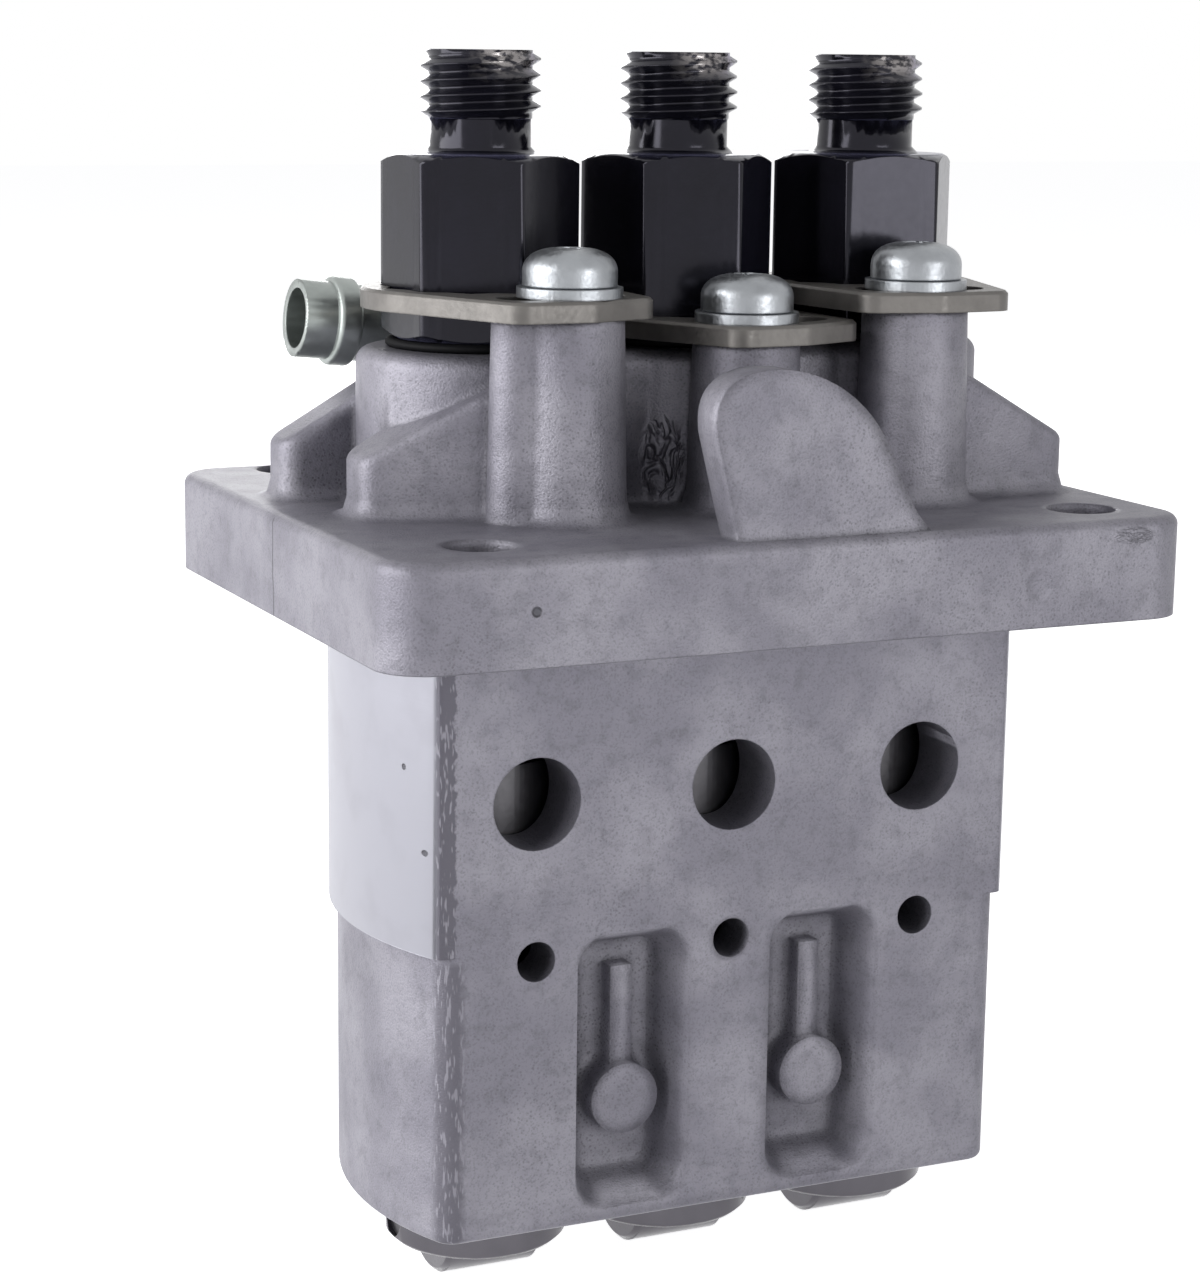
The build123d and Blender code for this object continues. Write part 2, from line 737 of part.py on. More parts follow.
for number in element_numbers:
    # Valve seat: a flange clamped on the barrel and a nose inside the holder
    with BuildPart() as valve_seat:
        with BuildSketch(element_plane(number)):
            outline(
                (valve_stem_radius + running_clearance, barrel_top),
                (valve_seat_radius, barrel_top),
                (valve_seat_radius, valve_seat_top),
                (valve_nose_radius, valve_seat_top),
                (valve_nose_radius, valve_nose_top),
                (valve_stem_radius + running_clearance, valve_nose_top),
            )
        revolve(axis=element_axis(number))
    valve_seat.part.label = f"delivery_valve_seat_{number}"
    export_step(valve_seat.part, f"parts/delivery_valve_seat_{number}.step")

    # Delivery valve: a fluted stem, a head and a spigot for the spring
    with BuildPart() as valve:
        with BuildSketch(element_plane(number)):
            outline(
                (0, valve_head_bottom - valve_stem_length),
                (valve_stem_radius, valve_head_bottom - valve_stem_length),
                (valve_stem_radius, valve_head_bottom),
                (valve_head_radius, valve_head_bottom),
                (valve_head_radius, valve_head_top),
                (valve_spigot_radius, valve_head_top),
                (valve_spigot_radius, valve_head_top + valve_spigot_height),
                (0, valve_head_top + valve_spigot_height),
            )
        revolve(axis=element_axis(number))
        with BuildSketch(Plane.XY.offset(valve_head_bottom - valve_stem_length)):
            with Locations((element_x[number], 0)):
                with PolarLocations(valve_stem_radius, 4, start_angle=45):
                    Circle(valve_flute_depth)
        extrude(amount=valve_stem_length - valve_head_height, mode=Mode.SUBTRACT)
    valve.part.label = f"delivery_valve_{number}"
    export_step(valve.part, f"parts/delivery_valve_{number}.step")

    valve_spring = coil_spring(
        number,
        valve_head_top + seat_clearance,
        spring_chamber_top - seat_clearance,
        valve_spring_coil_radius,
        valve_spring_wire_radius,
        valve_spring_turns,
    )
    valve_spring.label = f"delivery_valve_spring_{number}"
    export_step(valve_spring, f"parts/delivery_valve_spring_{number}.step")

    # Barrel: a head on the ledge, a long body below, fuel ports on both sides
    with BuildPart() as barrel:
        with BuildSketch(element_plane(number)):
            outline(
                (plunger_radius + running_clearance, -barrel_bottom),
                (barrel_body_radius, -barrel_bottom),
                (barrel_body_radius, barrel_ledge),
                (barrel_head_radius, barrel_ledge),
                (barrel_head_radius, barrel_top),
                (plunger_radius + running_clearance, barrel_top),
            )
        revolve(axis=element_axis(number))
        with BuildSketch(facing_back(-barrel_head_radius)):
            with Locations((element_x[number], -port_z)):
                Circle(port_radius)
        extrude(amount=2 * barrel_head_radius, mode=Mode.SUBTRACT)
        with BuildSketch(Plane.XY.offset(barrel_ledge)):
            with Locations((element_x[number], dowel_y)):
                Circle(dowel_radius + running_clearance)
        extrude(amount=dowel_length / 2 + seat_clearance, mode=Mode.SUBTRACT)
    barrel.part.label = f"plunger_barrel_{number}"
    export_step(barrel.part, f"parts/plunger_barrel_{number}.step")

    # Plunger: metering helix at the top, wings for the sleeve, a foot for the tappet
    with BuildPart() as plunger:
        with BuildSketch(element_plane(number)):
            outline(
                (0, -plunger_top),
                (plunger_radius, -plunger_top),
                (plunger_radius, -wing_bottom),
                (plunger_neck_radius, -wing_bottom),
                (plunger_neck_radius, foot_bottom + plunger_foot_height),
                (plunger_foot_radius, foot_bottom + plunger_foot_height),
                (plunger_foot_radius, foot_bottom),
                (0, foot_bottom),
            )
        revolve(axis=element_axis(number))
        with BuildSketch(Plane.XY.offset(-wing_bottom)):
            with Locations((element_x[number], 0)):
                Rectangle(wing_span, wing_thickness)
        extrude(amount=wing_height)
        # A sloping step cut in the front half, and the slot that leads fuel to it
        helix_middle = -plunger_top - helix_height
        with BuildSketch(facing_front(helix_depth - plunger_radius)):
            with Locations((element_x[number], helix_middle)):
                Rectangle(4 * plunger_radius, helix_height / 2, rotation=helix_tilt)
        extrude(amount=plunger_radius, mode=Mode.SUBTRACT)
        with BuildSketch(facing_front(helix_depth - plunger_radius)):
            with Locations((element_x[number], (helix_middle - plunger_top) / 2)):
                Rectangle(helix_depth, -plunger_top - helix_middle)
        extrude(amount=plunger_radius, mode=Mode.SUBTRACT)
    plunger.part.label = f"plunger_{number}"
    export_step(plunger.part, f"parts/plunger_{number}.step")

    # Control sleeve: turns on the barrel, slotted for the wings, with a ball-ended arm
    with BuildPart() as sleeve:
        with BuildSketch(Plane.XY.offset(-sleeve_bottom)):
            with Locations((element_x[number], 0)):
                Circle(sleeve_radius)
                Circle(sleeve_bore_radius, mode=Mode.SUBTRACT)
        extrude(amount=sleeve_bottom - sleeve_top)
        with BuildSketch(Plane.XY.offset(-sleeve_bottom)):
            with Locations((element_x[number], 0)):
                Rectangle(3 * sleeve_radius, wing_thickness + 2 * sleeve_slot_clearance)
        extrude(amount=sleeve_bottom - barrel_bottom - seat_clearance, mode=Mode.SUBTRACT)
        with BuildSketch(Plane.XY.offset(-arm_z - arm_thickness / 2)):
            arm_root = sleeve_bore_radius + sleeve_wall / 2
            with Locations((element_x[number], (arm_root + arm_length) / 2)):
                Rectangle(arm_width, arm_length - arm_root)
        extrude(amount=arm_thickness)
        with BuildSketch(facing_back(arm_length)):
            with Locations((element_x[number], arm_z)):
                Circle(arm_neck_radius)
        extrude(amount=arm_reach - arm_length)
        with Locations((element_x[number], arm_reach, -arm_z)):
            Sphere(arm_ball_radius)
    sleeve.part.label = f"control_sleeve_{number}"
    export_step(sleeve.part, f"parts/control_sleeve_{number}.step")

    # Upper spring seat: notched so that the plunger's wings pass through
    with BuildPart() as upper_seat:
        with BuildSketch(Plane.XY.offset(upper_seat_bottom)):
            with Locations((element_x[number], 0)):
                Circle(tappet_radius)
                Circle(upper_seat_hole_radius, mode=Mode.SUBTRACT)
                Rectangle(
                    wing_span + 2 * sleeve_slot_clearance,
                    wing_thickness + 2 * sleeve_slot_clearance,
                    mode=Mode.SUBTRACT,
                )
        extrude(amount=upper_seat_thickness)
    upper_seat.part.label = f"upper_spring_seat_{number}"
    export_step(upper_seat.part, f"parts/upper_spring_seat_{number}.step")

    plunger_spring = coil_spring(
        number,
        lower_seat_top + seat_clearance,
        upper_seat_bottom - seat_clearance,
        plunger_spring_coil_radius,
        plunger_spring_wire_radius,
        plunger_spring_turns,
    )
    plunger_spring.label = f"plunger_spring_{number}"
    export_step(plunger_spring, f"parts/plunger_spring_{number}.step")

    # Lower spring seat: a keyhole disc that slips over the plunger's neck
    with BuildPart() as lower_seat:
        with BuildSketch(Plane.XY.offset(-tappet_top)):
            with Locations((element_x[number], 0)):
                Circle(lower_seat_radius)
                Circle(plunger_neck_radius + sliding_clearance, mode=Mode.SUBTRACT)
            with Locations((element_x[number], -lower_seat_radius / 2)):
                Rectangle(
                    2 * (plunger_neck_radius + sliding_clearance),
                    lower_seat_radius,
                    mode=Mode.SUBTRACT,
                )
        extrude(amount=lower_seat_thickness)
    lower_seat.part.label = f"lower_spring_seat_{number}"
    export_step(lower_seat.part, f"parts/lower_spring_seat_{number}.step")

    # Tappet: a cup for the plunger's foot above, a pocket for the roller below
    with BuildPart() as tappet:
        with BuildSketch(element_plane(number)):
            outline(
                (0, foot_floor),
                (foot_recess_radius, foot_floor),
                (foot_recess_radius, -tappet_top),
                (tappet_radius - tappet_chamfer, -tappet_top),
                (tappet_radius, -tappet_top - tappet_chamfer),
                (tappet_radius, -tappet_bottom + tappet_chamfer),
                (tappet_radius - tappet_chamfer, -tappet_bottom),
                (0, -tappet_bottom),
            )
        revolve(axis=element_axis(number))
        pocket_half_length = roller_half_length + roller_clearance
        with BuildSketch(Plane.YZ.offset(element_x[number] - pocket_half_length)):
            with Locations((0, roller_z)):
                Circle(roller_pocket_radius)
            with Locations((0, (roller_z - tappet_bottom) / 2 - tappet_chamfer)):
                Rectangle(2 * roller_pocket_radius, roller_z + tappet_bottom + 2 * tappet_chamfer)
        extrude(amount=2 * pocket_half_length, mode=Mode.SUBTRACT)
        with BuildSketch(Plane.YZ.offset(element_x[number] - tappet_radius)):
            with Locations((0, roller_z)):
                Circle(roller_pin_radius + running_clearance)
        extrude(amount=2 * tappet_radius, mode=Mode.SUBTRACT)
        with BuildSketch(Plane.XY.offset(-tappet_bottom)):
            with Locations((element_x[number], tappet_radius)):
                Rectangle(tappet_groove_width, 2 * tappet_groove_depth)
        extrude(amount=tappet_bottom - tappet_top, mode=Mode.SUBTRACT)
    tappet.part.label = f"tappet_{number}"
    export_step(tappet.part, f"parts/tappet_{number}.step")

    with BuildPart() as roller_pin:
        with BuildSketch(Plane.YZ.offset(element_x[number] - roller_pin_half_length)):
            with Locations((0, roller_z)):
                Circle(roller_pin_radius)
        extrude(amount=2 * roller_pin_half_length)
    roller_pin.part.label = f"roller_pin_{number}"
    export_step(roller_pin.part, f"parts/roller_pin_{number}.step")

    with BuildPart() as roller:
        with BuildSketch(Plane.YZ.offset(element_x[number] - roller_half_length)):
            with Locations((0, roller_z)):
                Circle(roller_radius)
        extrude(amount=2 * roller_half_length)
        chamfer(roller.edges(), roller_edge)
        with BuildSketch(Plane.YZ.offset(element_x[number] - roller_half_length)):
            with Locations((0, roller_z)):
                Circle(roller_pin_radius + running_clearance)
        extrude(amount=2 * roller_half_length, mode=Mode.SUBTRACT)
    roller.part.label = f"tappet_roller_{number}"
    export_step(roller.part, f"parts/tappet_roller_{number}.step")

    # Lock plate: a ring round the hexagon with a slotted ear under the screw
    with BuildPart() as lock_plate:
        with BuildSketch(Plane.XY.offset(post_top[number])):
            with Locations((element_x[number], 0)):
                Circle(plate_ring_radius)
                with PolarLocations(
                    plate_ear_radius,
                    3,
                    start_angle=plate_ear_angle[number] - plate_ear_half_angle,
                    angular_range=2 * plate_ear_half_angle,
                    endpoint=True,
                    rotate=False,
                ):
                    Circle(plate_ear_corner_radius)
            make_hull()
        extrude(amount=plate_thickness)
        chamfer(lock_plate.edges().group_by(Axis.Z)[-1], plate_edge)
        # Twelve-point opening that fits the hexagon, and the arc slot
        with BuildSketch(Plane.XY.offset(post_top[number])):
            with Locations((element_x[number], 0)):
                for turn in (0, 30):
                    RegularPolygon(
                        hex_across_flats / 2 + plate_hex_clearance,
                        6,
                        major_radius=False,
                        rotation=hex_angles[number] + turn,
                    )
            slot_middle = (element_x[number], 0)
            slot_start = plate_ear_angle[number] - plate_slot_sweep / 2
            SlotArc(
                CenterArc(slot_middle, plate_slot_radius, slot_start, plate_slot_sweep),
                2 * plate_slot_half_width,
            )
        extrude(amount=plate_thickness, mode=Mode.SUBTRACT)
    lock_plate.part.label = f"lock_plate_{number}"
    export_step(lock_plate.part, f"parts/lock_plate_{number}.step")

# Pins that keep the tappets from turning
with BuildPart() as tappet_guide_pins:
    with BuildSketch(facing_front(half_depth - seat_clearance)):
        with Locations(*[(x, -guide_pin_z) for x in element_x.values()]):
            Circle(guide_pin_radius)
    pin_reach = tappet_radius - tappet_groove_depth + 2 * sliding_clearance
    extrude(amount=half_depth - seat_clearance - pin_reach)
tappet_guide_pins.part.label = "tappet_guide_pins"
export_step(tappet_guide_pins.part, "parts/tappet_guide_pins.step")

# Control rack: notched for the arms' balls and slotted for its guide screws
with BuildPart() as control_rack:
    with BuildSketch(facing_front(rack_back)) as rack_outline:
        with Locations(((rack_left + rack_right) / 2, rack_middle_z)):
            Rectangle(rack_right - rack_left, rack_bottom - rack_top)
        fillet(rack_outline.vertices(), rack_corner_radius)
        with Locations(*[(x, -rack_top) for x in element_x.values()]):
            Rectangle(
                2 * (arm_ball_radius + rack_notch_clearance),
                2 * rack_notch_depth,
                mode=Mode.SUBTRACT,
            )
        guide_half_width = rack_guide_radius + rack_guide_play
        with Locations(*[(x, -rack_guide_z) for x in between_elements]):
            SlotCenterToCenter(
                2 * (rack_travel + rack_guide_play), 2 * guide_half_width, mode=Mode.SUBTRACT
            )
        with Locations((link_pin_x, rack_middle_z)):
            Circle(link_pin_tail_radius + running_clearance, mode=Mode.SUBTRACT)
    extrude(amount=rack_thickness)
control_rack.part.label = "control_rack"
export_step(control_rack.part, "parts/control_rack.step")

with BuildPart() as rack_link_pin:
    with BuildSketch(facing_back(rack_face)):
        with Locations((link_pin_x, -rack_middle_z)):
            Circle(link_pin_tail_radius)
    extrude(amount=rack_thickness)
    with BuildSketch(facing_back(rack_back)):
        with Locations((link_pin_x, -rack_middle_z)):
            Circle(link_pin_radius)
    extrude(amount=link_pin_reach)
rack_link_pin.part.label = "rack_link_pin"
export_step(rack_link_pin.part, "parts/rack_link_pin.step")

# Shouldered screws that hold the rack against the body and let it slide
with BuildPart() as rack_guide_screws:
    with BuildSketch(facing_back(half_depth - rack_guide_stub_length)):
        with Locations(*[(x, rack_guide_z) for x in between_elements]):
            Circle(rack_guide_stub_radius)
    extrude(amount=rack_guide_stub_length)
    with BuildSketch(facing_back(half_depth)):
        with Locations(*[(x, rack_guide_z) for x in between_elements]):
            Circle(rack_guide_radius)
    extrude(amount=rack_guide_back - half_depth)
    with BuildSketch(facing_back(rack_guide_back)):
        with Locations(*[(x, rack_guide_z) for x in between_elements]):
            Circle(rack_guide_head_radius)
    extrude(amount=rack_guide_head_height)
rack_guide_screws.part.label = "rack_guide_screws"
export_step(rack_guide_screws.part, "parts/rack_guide_screws.step")

# Washers and pan head screws of the lock plates
with BuildPart() as lock_plate_washers:
    for number in element_numbers:
        with BuildSketch(Plane.XY.offset(post_top[number] + plate_thickness)):
            with Locations((post_x[number], post_row_y)):
                Circle(washer_radius)
                Circle(screw_radius + sliding_clearance, mode=Mode.SUBTRACT)
        extrude(amount=washer_thickness)
lock_plate_washers.part.label = "lock_plate_washers"
export_step(lock_plate_washers.part, "parts/lock_plate_washers.step")

with BuildPart() as lock_plate_screws:
    for number in element_numbers:
        with BuildSketch(Plane.XY.offset(post_top[number] - screw_engagement)):
            with Locations((post_x[number], post_row_y)):
                Circle(screw_radius)
        extrude(amount=screw_seat[number] - post_top[number] + screw_engagement)
        with BuildSketch(Plane.XY.offset(screw_seat[number])):
            with Locations((post_x[number], post_row_y)):
                Circle(screw_head_radius)
        extrude(amount=screw_head_height)
        top_edge = lock_plate_screws.edges().filter_by_position(
            Axis.X, post_x[number] - screw_head_radius, post_x[number] + screw_head_radius
        )
        fillet(top_edge.sort_by(Axis.Z)[-1], screw_crown_radius)
lock_plate_screws.part.label = "lock_plate_screws"
export_step(lock_plate_screws.part, "parts/lock_plate_screws.step")

# Fuel inlet elbow: a hose tail with a bead, bent down into its boss
inlet_drop = (inlet_leg_x - inlet_end_x) * tan(radians(inlet_tilt))
inlet_direction = (cos(radians(inlet_tilt)), 0, -sin(radians(inlet_tilt)))
inlet_bead_x = inlet_end_x + inlet_bead_from_end * cos(radians(inlet_tilt))
inlet_bead_z = inlet_end_z - inlet_bead_from_end * sin(radians(inlet_tilt))
with BuildPart() as fuel_inlet_elbow:
    with BuildLine() as inlet_path:
        FilletPolyline(
            (inlet_end_x, inlet_y, inlet_end_z),
            (inlet_leg_x, inlet_y, inlet_end_z - inlet_drop),
            (inlet_leg_x, inlet_y, inlet_boss_top - inlet_leg_depth + seat_clearance),
            radius=inlet_bend_radius,
        )
    with BuildSketch(Plane(origin=inlet_path.line @ 0, z_dir=inlet_direction)):
        Circle(inlet_tube_radius)
    sweep(path=inlet_path.line)
    bead_start = Plane(
        origin=(
            inlet_bead_x - inlet_bead_width / 2 * cos(radians(inlet_tilt)),
            inlet_y,
            inlet_bead_z + inlet_bead_width / 2 * sin(radians(inlet_tilt)),
        ),
        z_dir=inlet_direction,
    )
    with BuildSketch(bead_start):
        Circle(inlet_bead_radius)
    extrude(amount=inlet_bead_width)
    bead_edges = fuel_inlet_elbow.edges().filter_by(GeomType.CIRCLE)
    fillet(
        bead_edges.filter_by(lambda edge: abs(edge.radius - inlet_bead_radius) < seat_clearance),
        inlet_bead_round,
    )
    with BuildSketch(Plane(origin=inlet_path.line @ 0, z_dir=inlet_direction)):
        Circle(inlet_bore_radius)
    sweep(path=inlet_path.line, mode=Mode.SUBTRACT)
fuel_inlet_elbow.part.label = "fuel_inlet_elbow"
export_step(fuel_inlet_elbow.part, "parts/fuel_inlet_elbow.step")
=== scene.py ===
import json
import math

import bmesh
import bpy
from bpy.props import FloatProperty, FloatVectorProperty, IntProperty, PointerProperty
from mathutils import Matrix, Vector


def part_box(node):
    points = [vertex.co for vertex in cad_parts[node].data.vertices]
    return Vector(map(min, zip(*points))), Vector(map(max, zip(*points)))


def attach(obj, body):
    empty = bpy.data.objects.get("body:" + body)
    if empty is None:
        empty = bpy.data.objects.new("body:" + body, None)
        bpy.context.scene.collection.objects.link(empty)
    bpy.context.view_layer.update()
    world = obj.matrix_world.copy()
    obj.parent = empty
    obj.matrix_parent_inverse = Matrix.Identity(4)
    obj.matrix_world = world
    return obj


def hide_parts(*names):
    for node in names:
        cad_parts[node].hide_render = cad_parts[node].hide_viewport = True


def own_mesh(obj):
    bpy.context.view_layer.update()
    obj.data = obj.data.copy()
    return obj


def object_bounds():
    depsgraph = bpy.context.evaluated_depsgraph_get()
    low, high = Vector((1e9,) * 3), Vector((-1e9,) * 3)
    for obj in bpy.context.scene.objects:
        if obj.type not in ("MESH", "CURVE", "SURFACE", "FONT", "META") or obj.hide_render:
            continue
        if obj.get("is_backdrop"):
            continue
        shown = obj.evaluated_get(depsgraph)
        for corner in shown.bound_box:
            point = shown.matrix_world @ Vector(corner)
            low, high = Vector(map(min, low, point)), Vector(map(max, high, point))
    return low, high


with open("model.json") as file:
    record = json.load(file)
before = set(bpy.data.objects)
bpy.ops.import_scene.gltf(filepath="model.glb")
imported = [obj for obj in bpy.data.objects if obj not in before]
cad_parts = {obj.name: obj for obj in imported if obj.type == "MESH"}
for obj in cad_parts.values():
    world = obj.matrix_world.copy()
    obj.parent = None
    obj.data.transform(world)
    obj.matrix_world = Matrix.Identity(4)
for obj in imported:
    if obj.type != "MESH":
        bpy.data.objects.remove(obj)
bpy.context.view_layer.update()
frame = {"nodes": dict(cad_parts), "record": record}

bl_info = {
    "name": "Three-element diesel injection pump",
    "version": (1, 0, 0),
    "blender": (4, 5, 0),
    "location": "3D View > Sidebar > Injection pump",
    "description": "Finishes the pump's castings, fittings and lock plates around the packed frame",
    "category": "Object",
}

MM = 0.001
ELEMENTS = (1, 2, 3)

# The housing's own sizes in millimetres, as its solid has them
PILOT_RADIUS = 35.6
PILOT_LENGTH = 32.6
BODY_LENGTH = 62.5
FLANGE_LEFT = 44.0
FLANGE_FRONT = 34.7
POST_ROW_X = 0.5
POST_ROW_Y = -15.0
POST_PITCH = 19.0

# The threaded end of a delivery valve holder
THREAD_LENGTH = 6.6 * MM
CREST_RADIUS = 5.95 * MM
OUTLET_RADIUS = 3.6 * MM
TOP_CHAMFER_RADIUS = 5.25 * MM
FOOT_CHAMFER_RADIUS = 5.1 * MM
FOOT_CHAMFER_SLOPE = 1.4

# The photograph's camera, in millimetres and degrees
CAMERA_SPOT = (-133.02, -270.68, 53.74)
CAMERA_AZIMUTH = -24.8
CAMERA_ELEVATION = 11.24
CAMERA_ROLL = 0.72
CAMERA_LENS = 82.41

SMOOTH = {"interpolation_type": "SMOOTHSTEP"}
WHITE = (1, 1, 1, 1)

# CAD nodes of plain steel inside the pump, and those among them that a finished piece stands for,
# by how their names begin
HIDDEN_STEEL = (
    "barrel_dowels",
    "delivery_valve_",
    "lower_spring_seat_",
    "plunger_",
    "roller_pin_",
    "tappet_guide_pins",
    "upper_spring_seat_",
)
FINISHED_STEEL = ("delivery_valve_holder_", "delivery_valve_spring_", "plunger_spring_")


def linear(hex_colour):
    """An sRGB hex colour as linear red, green, blue and alpha."""
    channels = [int(hex_colour[start:start + 2], 16) / 255 for start in (1, 3, 5)]
    return tuple(c / 12.92 if c <= 0.04045 else ((c + 0.055) / 1.055) ** 2.4 for c in channels) + (1.0,)


def length(name, description, default):
    """A size in metres, written here in millimetres."""
    return FloatProperty(
        name=name, description=description, default=default * MM, unit="LENGTH", precision=5
    )


def power(name, description, default):
    """A lamp's power in watts."""
    return FloatProperty(name=name, description=description, default=default, min=0.0, unit="POWER")


def shade(name, description, default):
    """A surface colour, written here as sRGB hex."""
    return FloatVectorProperty(
        name=name,
        description=description,
        default=linear(default),
        size=4,
        subtype="COLOR",
        min=0.0,
        max=1.0,
    )


class CastingSettings(bpy.types.PropertyGroup):
    """Colours and grain of the aluminium housing."""

    grey: shade("Cast grey", "Blasted aluminium skin", "#98969F")
    dark: shade("Shaded grey", "Duller patches of the skin", "#83818B")
    # The colour of the dirt in the pores, and of the painted shade in the hollows
    pore_and_shade: shade("Pore", "Specks of dirt in the pores", "#4A4A50")
    machined: shade("Machined", "Turned ends and cut faces", "#ACACB5")
    # Painted dark reflection down the front left corner, under the real chatter marks
    burnish_and_shade: shade("Burnished", "Strip that the tool rubbed at the corner", "#63616A")
    grain: length("Grain", "Width of one blasted grain", 0.22)
    edge: length("Edge", "Softness of the cast edges", 1.1)


class FittingSettings(bpy.types.PropertyGroup):
    """Threaded outlets of the delivery valve holders."""

    oxide: shade("Black oxide", "Oiled black oxide skin", "#08080C")
    bloom: shade("Bloom", "Bluish bloom on the oxide", "#16151E")
    gloss: shade("Gloss", "Tint of the reflections on the oxide", "#E8E6F8")
    sheen: shade("Sheen", "Tint of the oxide's soft sheen", "#B8B8E8")
    worn: shade("Worn steel", "Bare steel on the crushed thread starts", "#8D8988")
    pitch: length("Pitch", "Pitch of the pipe thread", 1.5)
    root: length("Root radius", "Radius at the root of the thread", 5.12)
    turn_steps: IntProperty(name="Steps", description="Facets in one turn", default=40, min=12)


class PlateSettings(bpy.types.PropertyGroup):
    """Lock plates, washers and screws."""

    steel: shade("Plate steel", "Dull rolled steel", "#716E6B")
    zinc: shade("Bright zinc", "Bright zinc plating", "#9B9EA2")
    head_radius: length("Head radius", "Radius of the pan head", 4.55)
    head_height: length("Head height", "Height of the pan head", 3.7)
    recess_width: length("Recess width", "Width of the cross recess", 1.15)
    recess_reach: length("Recess reach", "Half length of the cross recess", 2.5)


class InletSettings(bpy.types.PropertyGroup):
    """Fuel inlet elbow."""

    zinc: shade("Dull zinc", "Greenish zinc plating", "#A9AFAC")


class TappetSettings(bpy.types.PropertyGroup):
    """Tappets, rollers and the other steel pieces."""

    polished: shade("Polished", "Ground and polished steel", "#605E63")
    plain: shade("Plain steel", "Oiled plain steel", "#5C5B5E")
    rubber: shade("Rubber", "Black seal ring", "#101012")
    dust: shade("Dust", "Dust on the rubber", "#1C1C1E")
    wire: shade("Spring wire", "Oil tempered spring wire", "#4E4D50")
    copper: shade("Copper", "Soft copper gasket", "#B97A56")


class StageSettings(bpy.types.PropertyGroup):
    """Floor, lamps and world."""

    floor: shade("Floor", "Pale studio floor", "#F4F4F6")
    glow: FloatProperty(name="Floor glow", description="Light that the camera sees in it", default=0.86)
    key_power: power("Left lamp", "Power of the left lamp", 19.5)
    fill_power: power("Front lamp", "Power of the front lamp", 2.8)
    rear_power: power("Rear lamp", "Power of the rear lamp", 3.5)
    sky: FloatProperty(name="Sky", description="Strength of the world's light", default=0.14)


class PumpSettings(bpy.types.PropertyGroup):
    """All settings of the pump."""

    casting: PointerProperty(type=CastingSettings)
    fittings: PointerProperty(type=FittingSettings)
    plates: PointerProperty(type=PlateSettings)
    inlet: PointerProperty(type=InletSettings)
    tappets: PointerProperty(type=TappetSettings)
    stage: PointerProperty(type=StageSettings)


# Shaders


def node(tree, kind, inputs, out=0, **settings):
    """Adds a node with its settings, sets or links its inputs, and returns one of its outputs."""
    made = tree.nodes.new("ShaderNode" + kind)
    for name, value in settings.items():
        setattr(made, name, value)
    for key, value in inputs.items():
        if isinstance(value, bpy.types.NodeSocket):
            tree.links.new(value, made.inputs[key])
        else:
            made.inputs[key].default_value = value
    return made.outputs[out] if made.outputs else made


def new_material(name):
    """An empty material: its node tree, its shader, and the object coordinates."""
    material = bpy.data.materials.new(name)
    material.use_nodes = True
    tree = material.node_tree
    tree.nodes.clear()
    shader = node(tree, "BsdfPrincipled", {}).node
    node(tree, "OutputMaterial", {"Surface": shader.outputs["BSDF"]})
    return material, tree, shader, node(tree, "TexCoord", {}, "Object")


def region(tree, *limits):
    """A mask of the places that lie past every limit. A limit is a coordinate, the millimetres
    where the region starts, and those where it is full."""
    masks = []
    for coordinate, start, full in limits:
        past = {"Value": coordinate, "From Min": start * MM, "From Max": full * MM}
        masks.append(node(tree, "MapRange", past))
    whole = masks[0]
    for mask in masks[1:]:
        whole = node(tree, "Math", {0: whole, 1: mask}, operation="MULTIPLY")
    return whole


def patch(tree, place, spot, squeeze, reach, core):
    """A mask round one spot, given in millimetres: it is full within the core's share of its reach.
    Squeezed coordinates make it oblong. Returns the mask and those coordinates."""
    centre = Vector(a * b for a, b in zip(spot, squeeze)) * MM
    squeezed = node(tree, "VectorMath", {0: place, 1: squeeze}, operation="MULTIPLY")
    away = node(tree, "VectorMath", {0: squeezed, 1: centre}, "Value", operation="DISTANCE")
    limits = {"Value": away, "From Min": reach * MM, "From Max": core * reach * MM}
    return node(tree, "MapRange", limits, **SMOOTH), squeezed


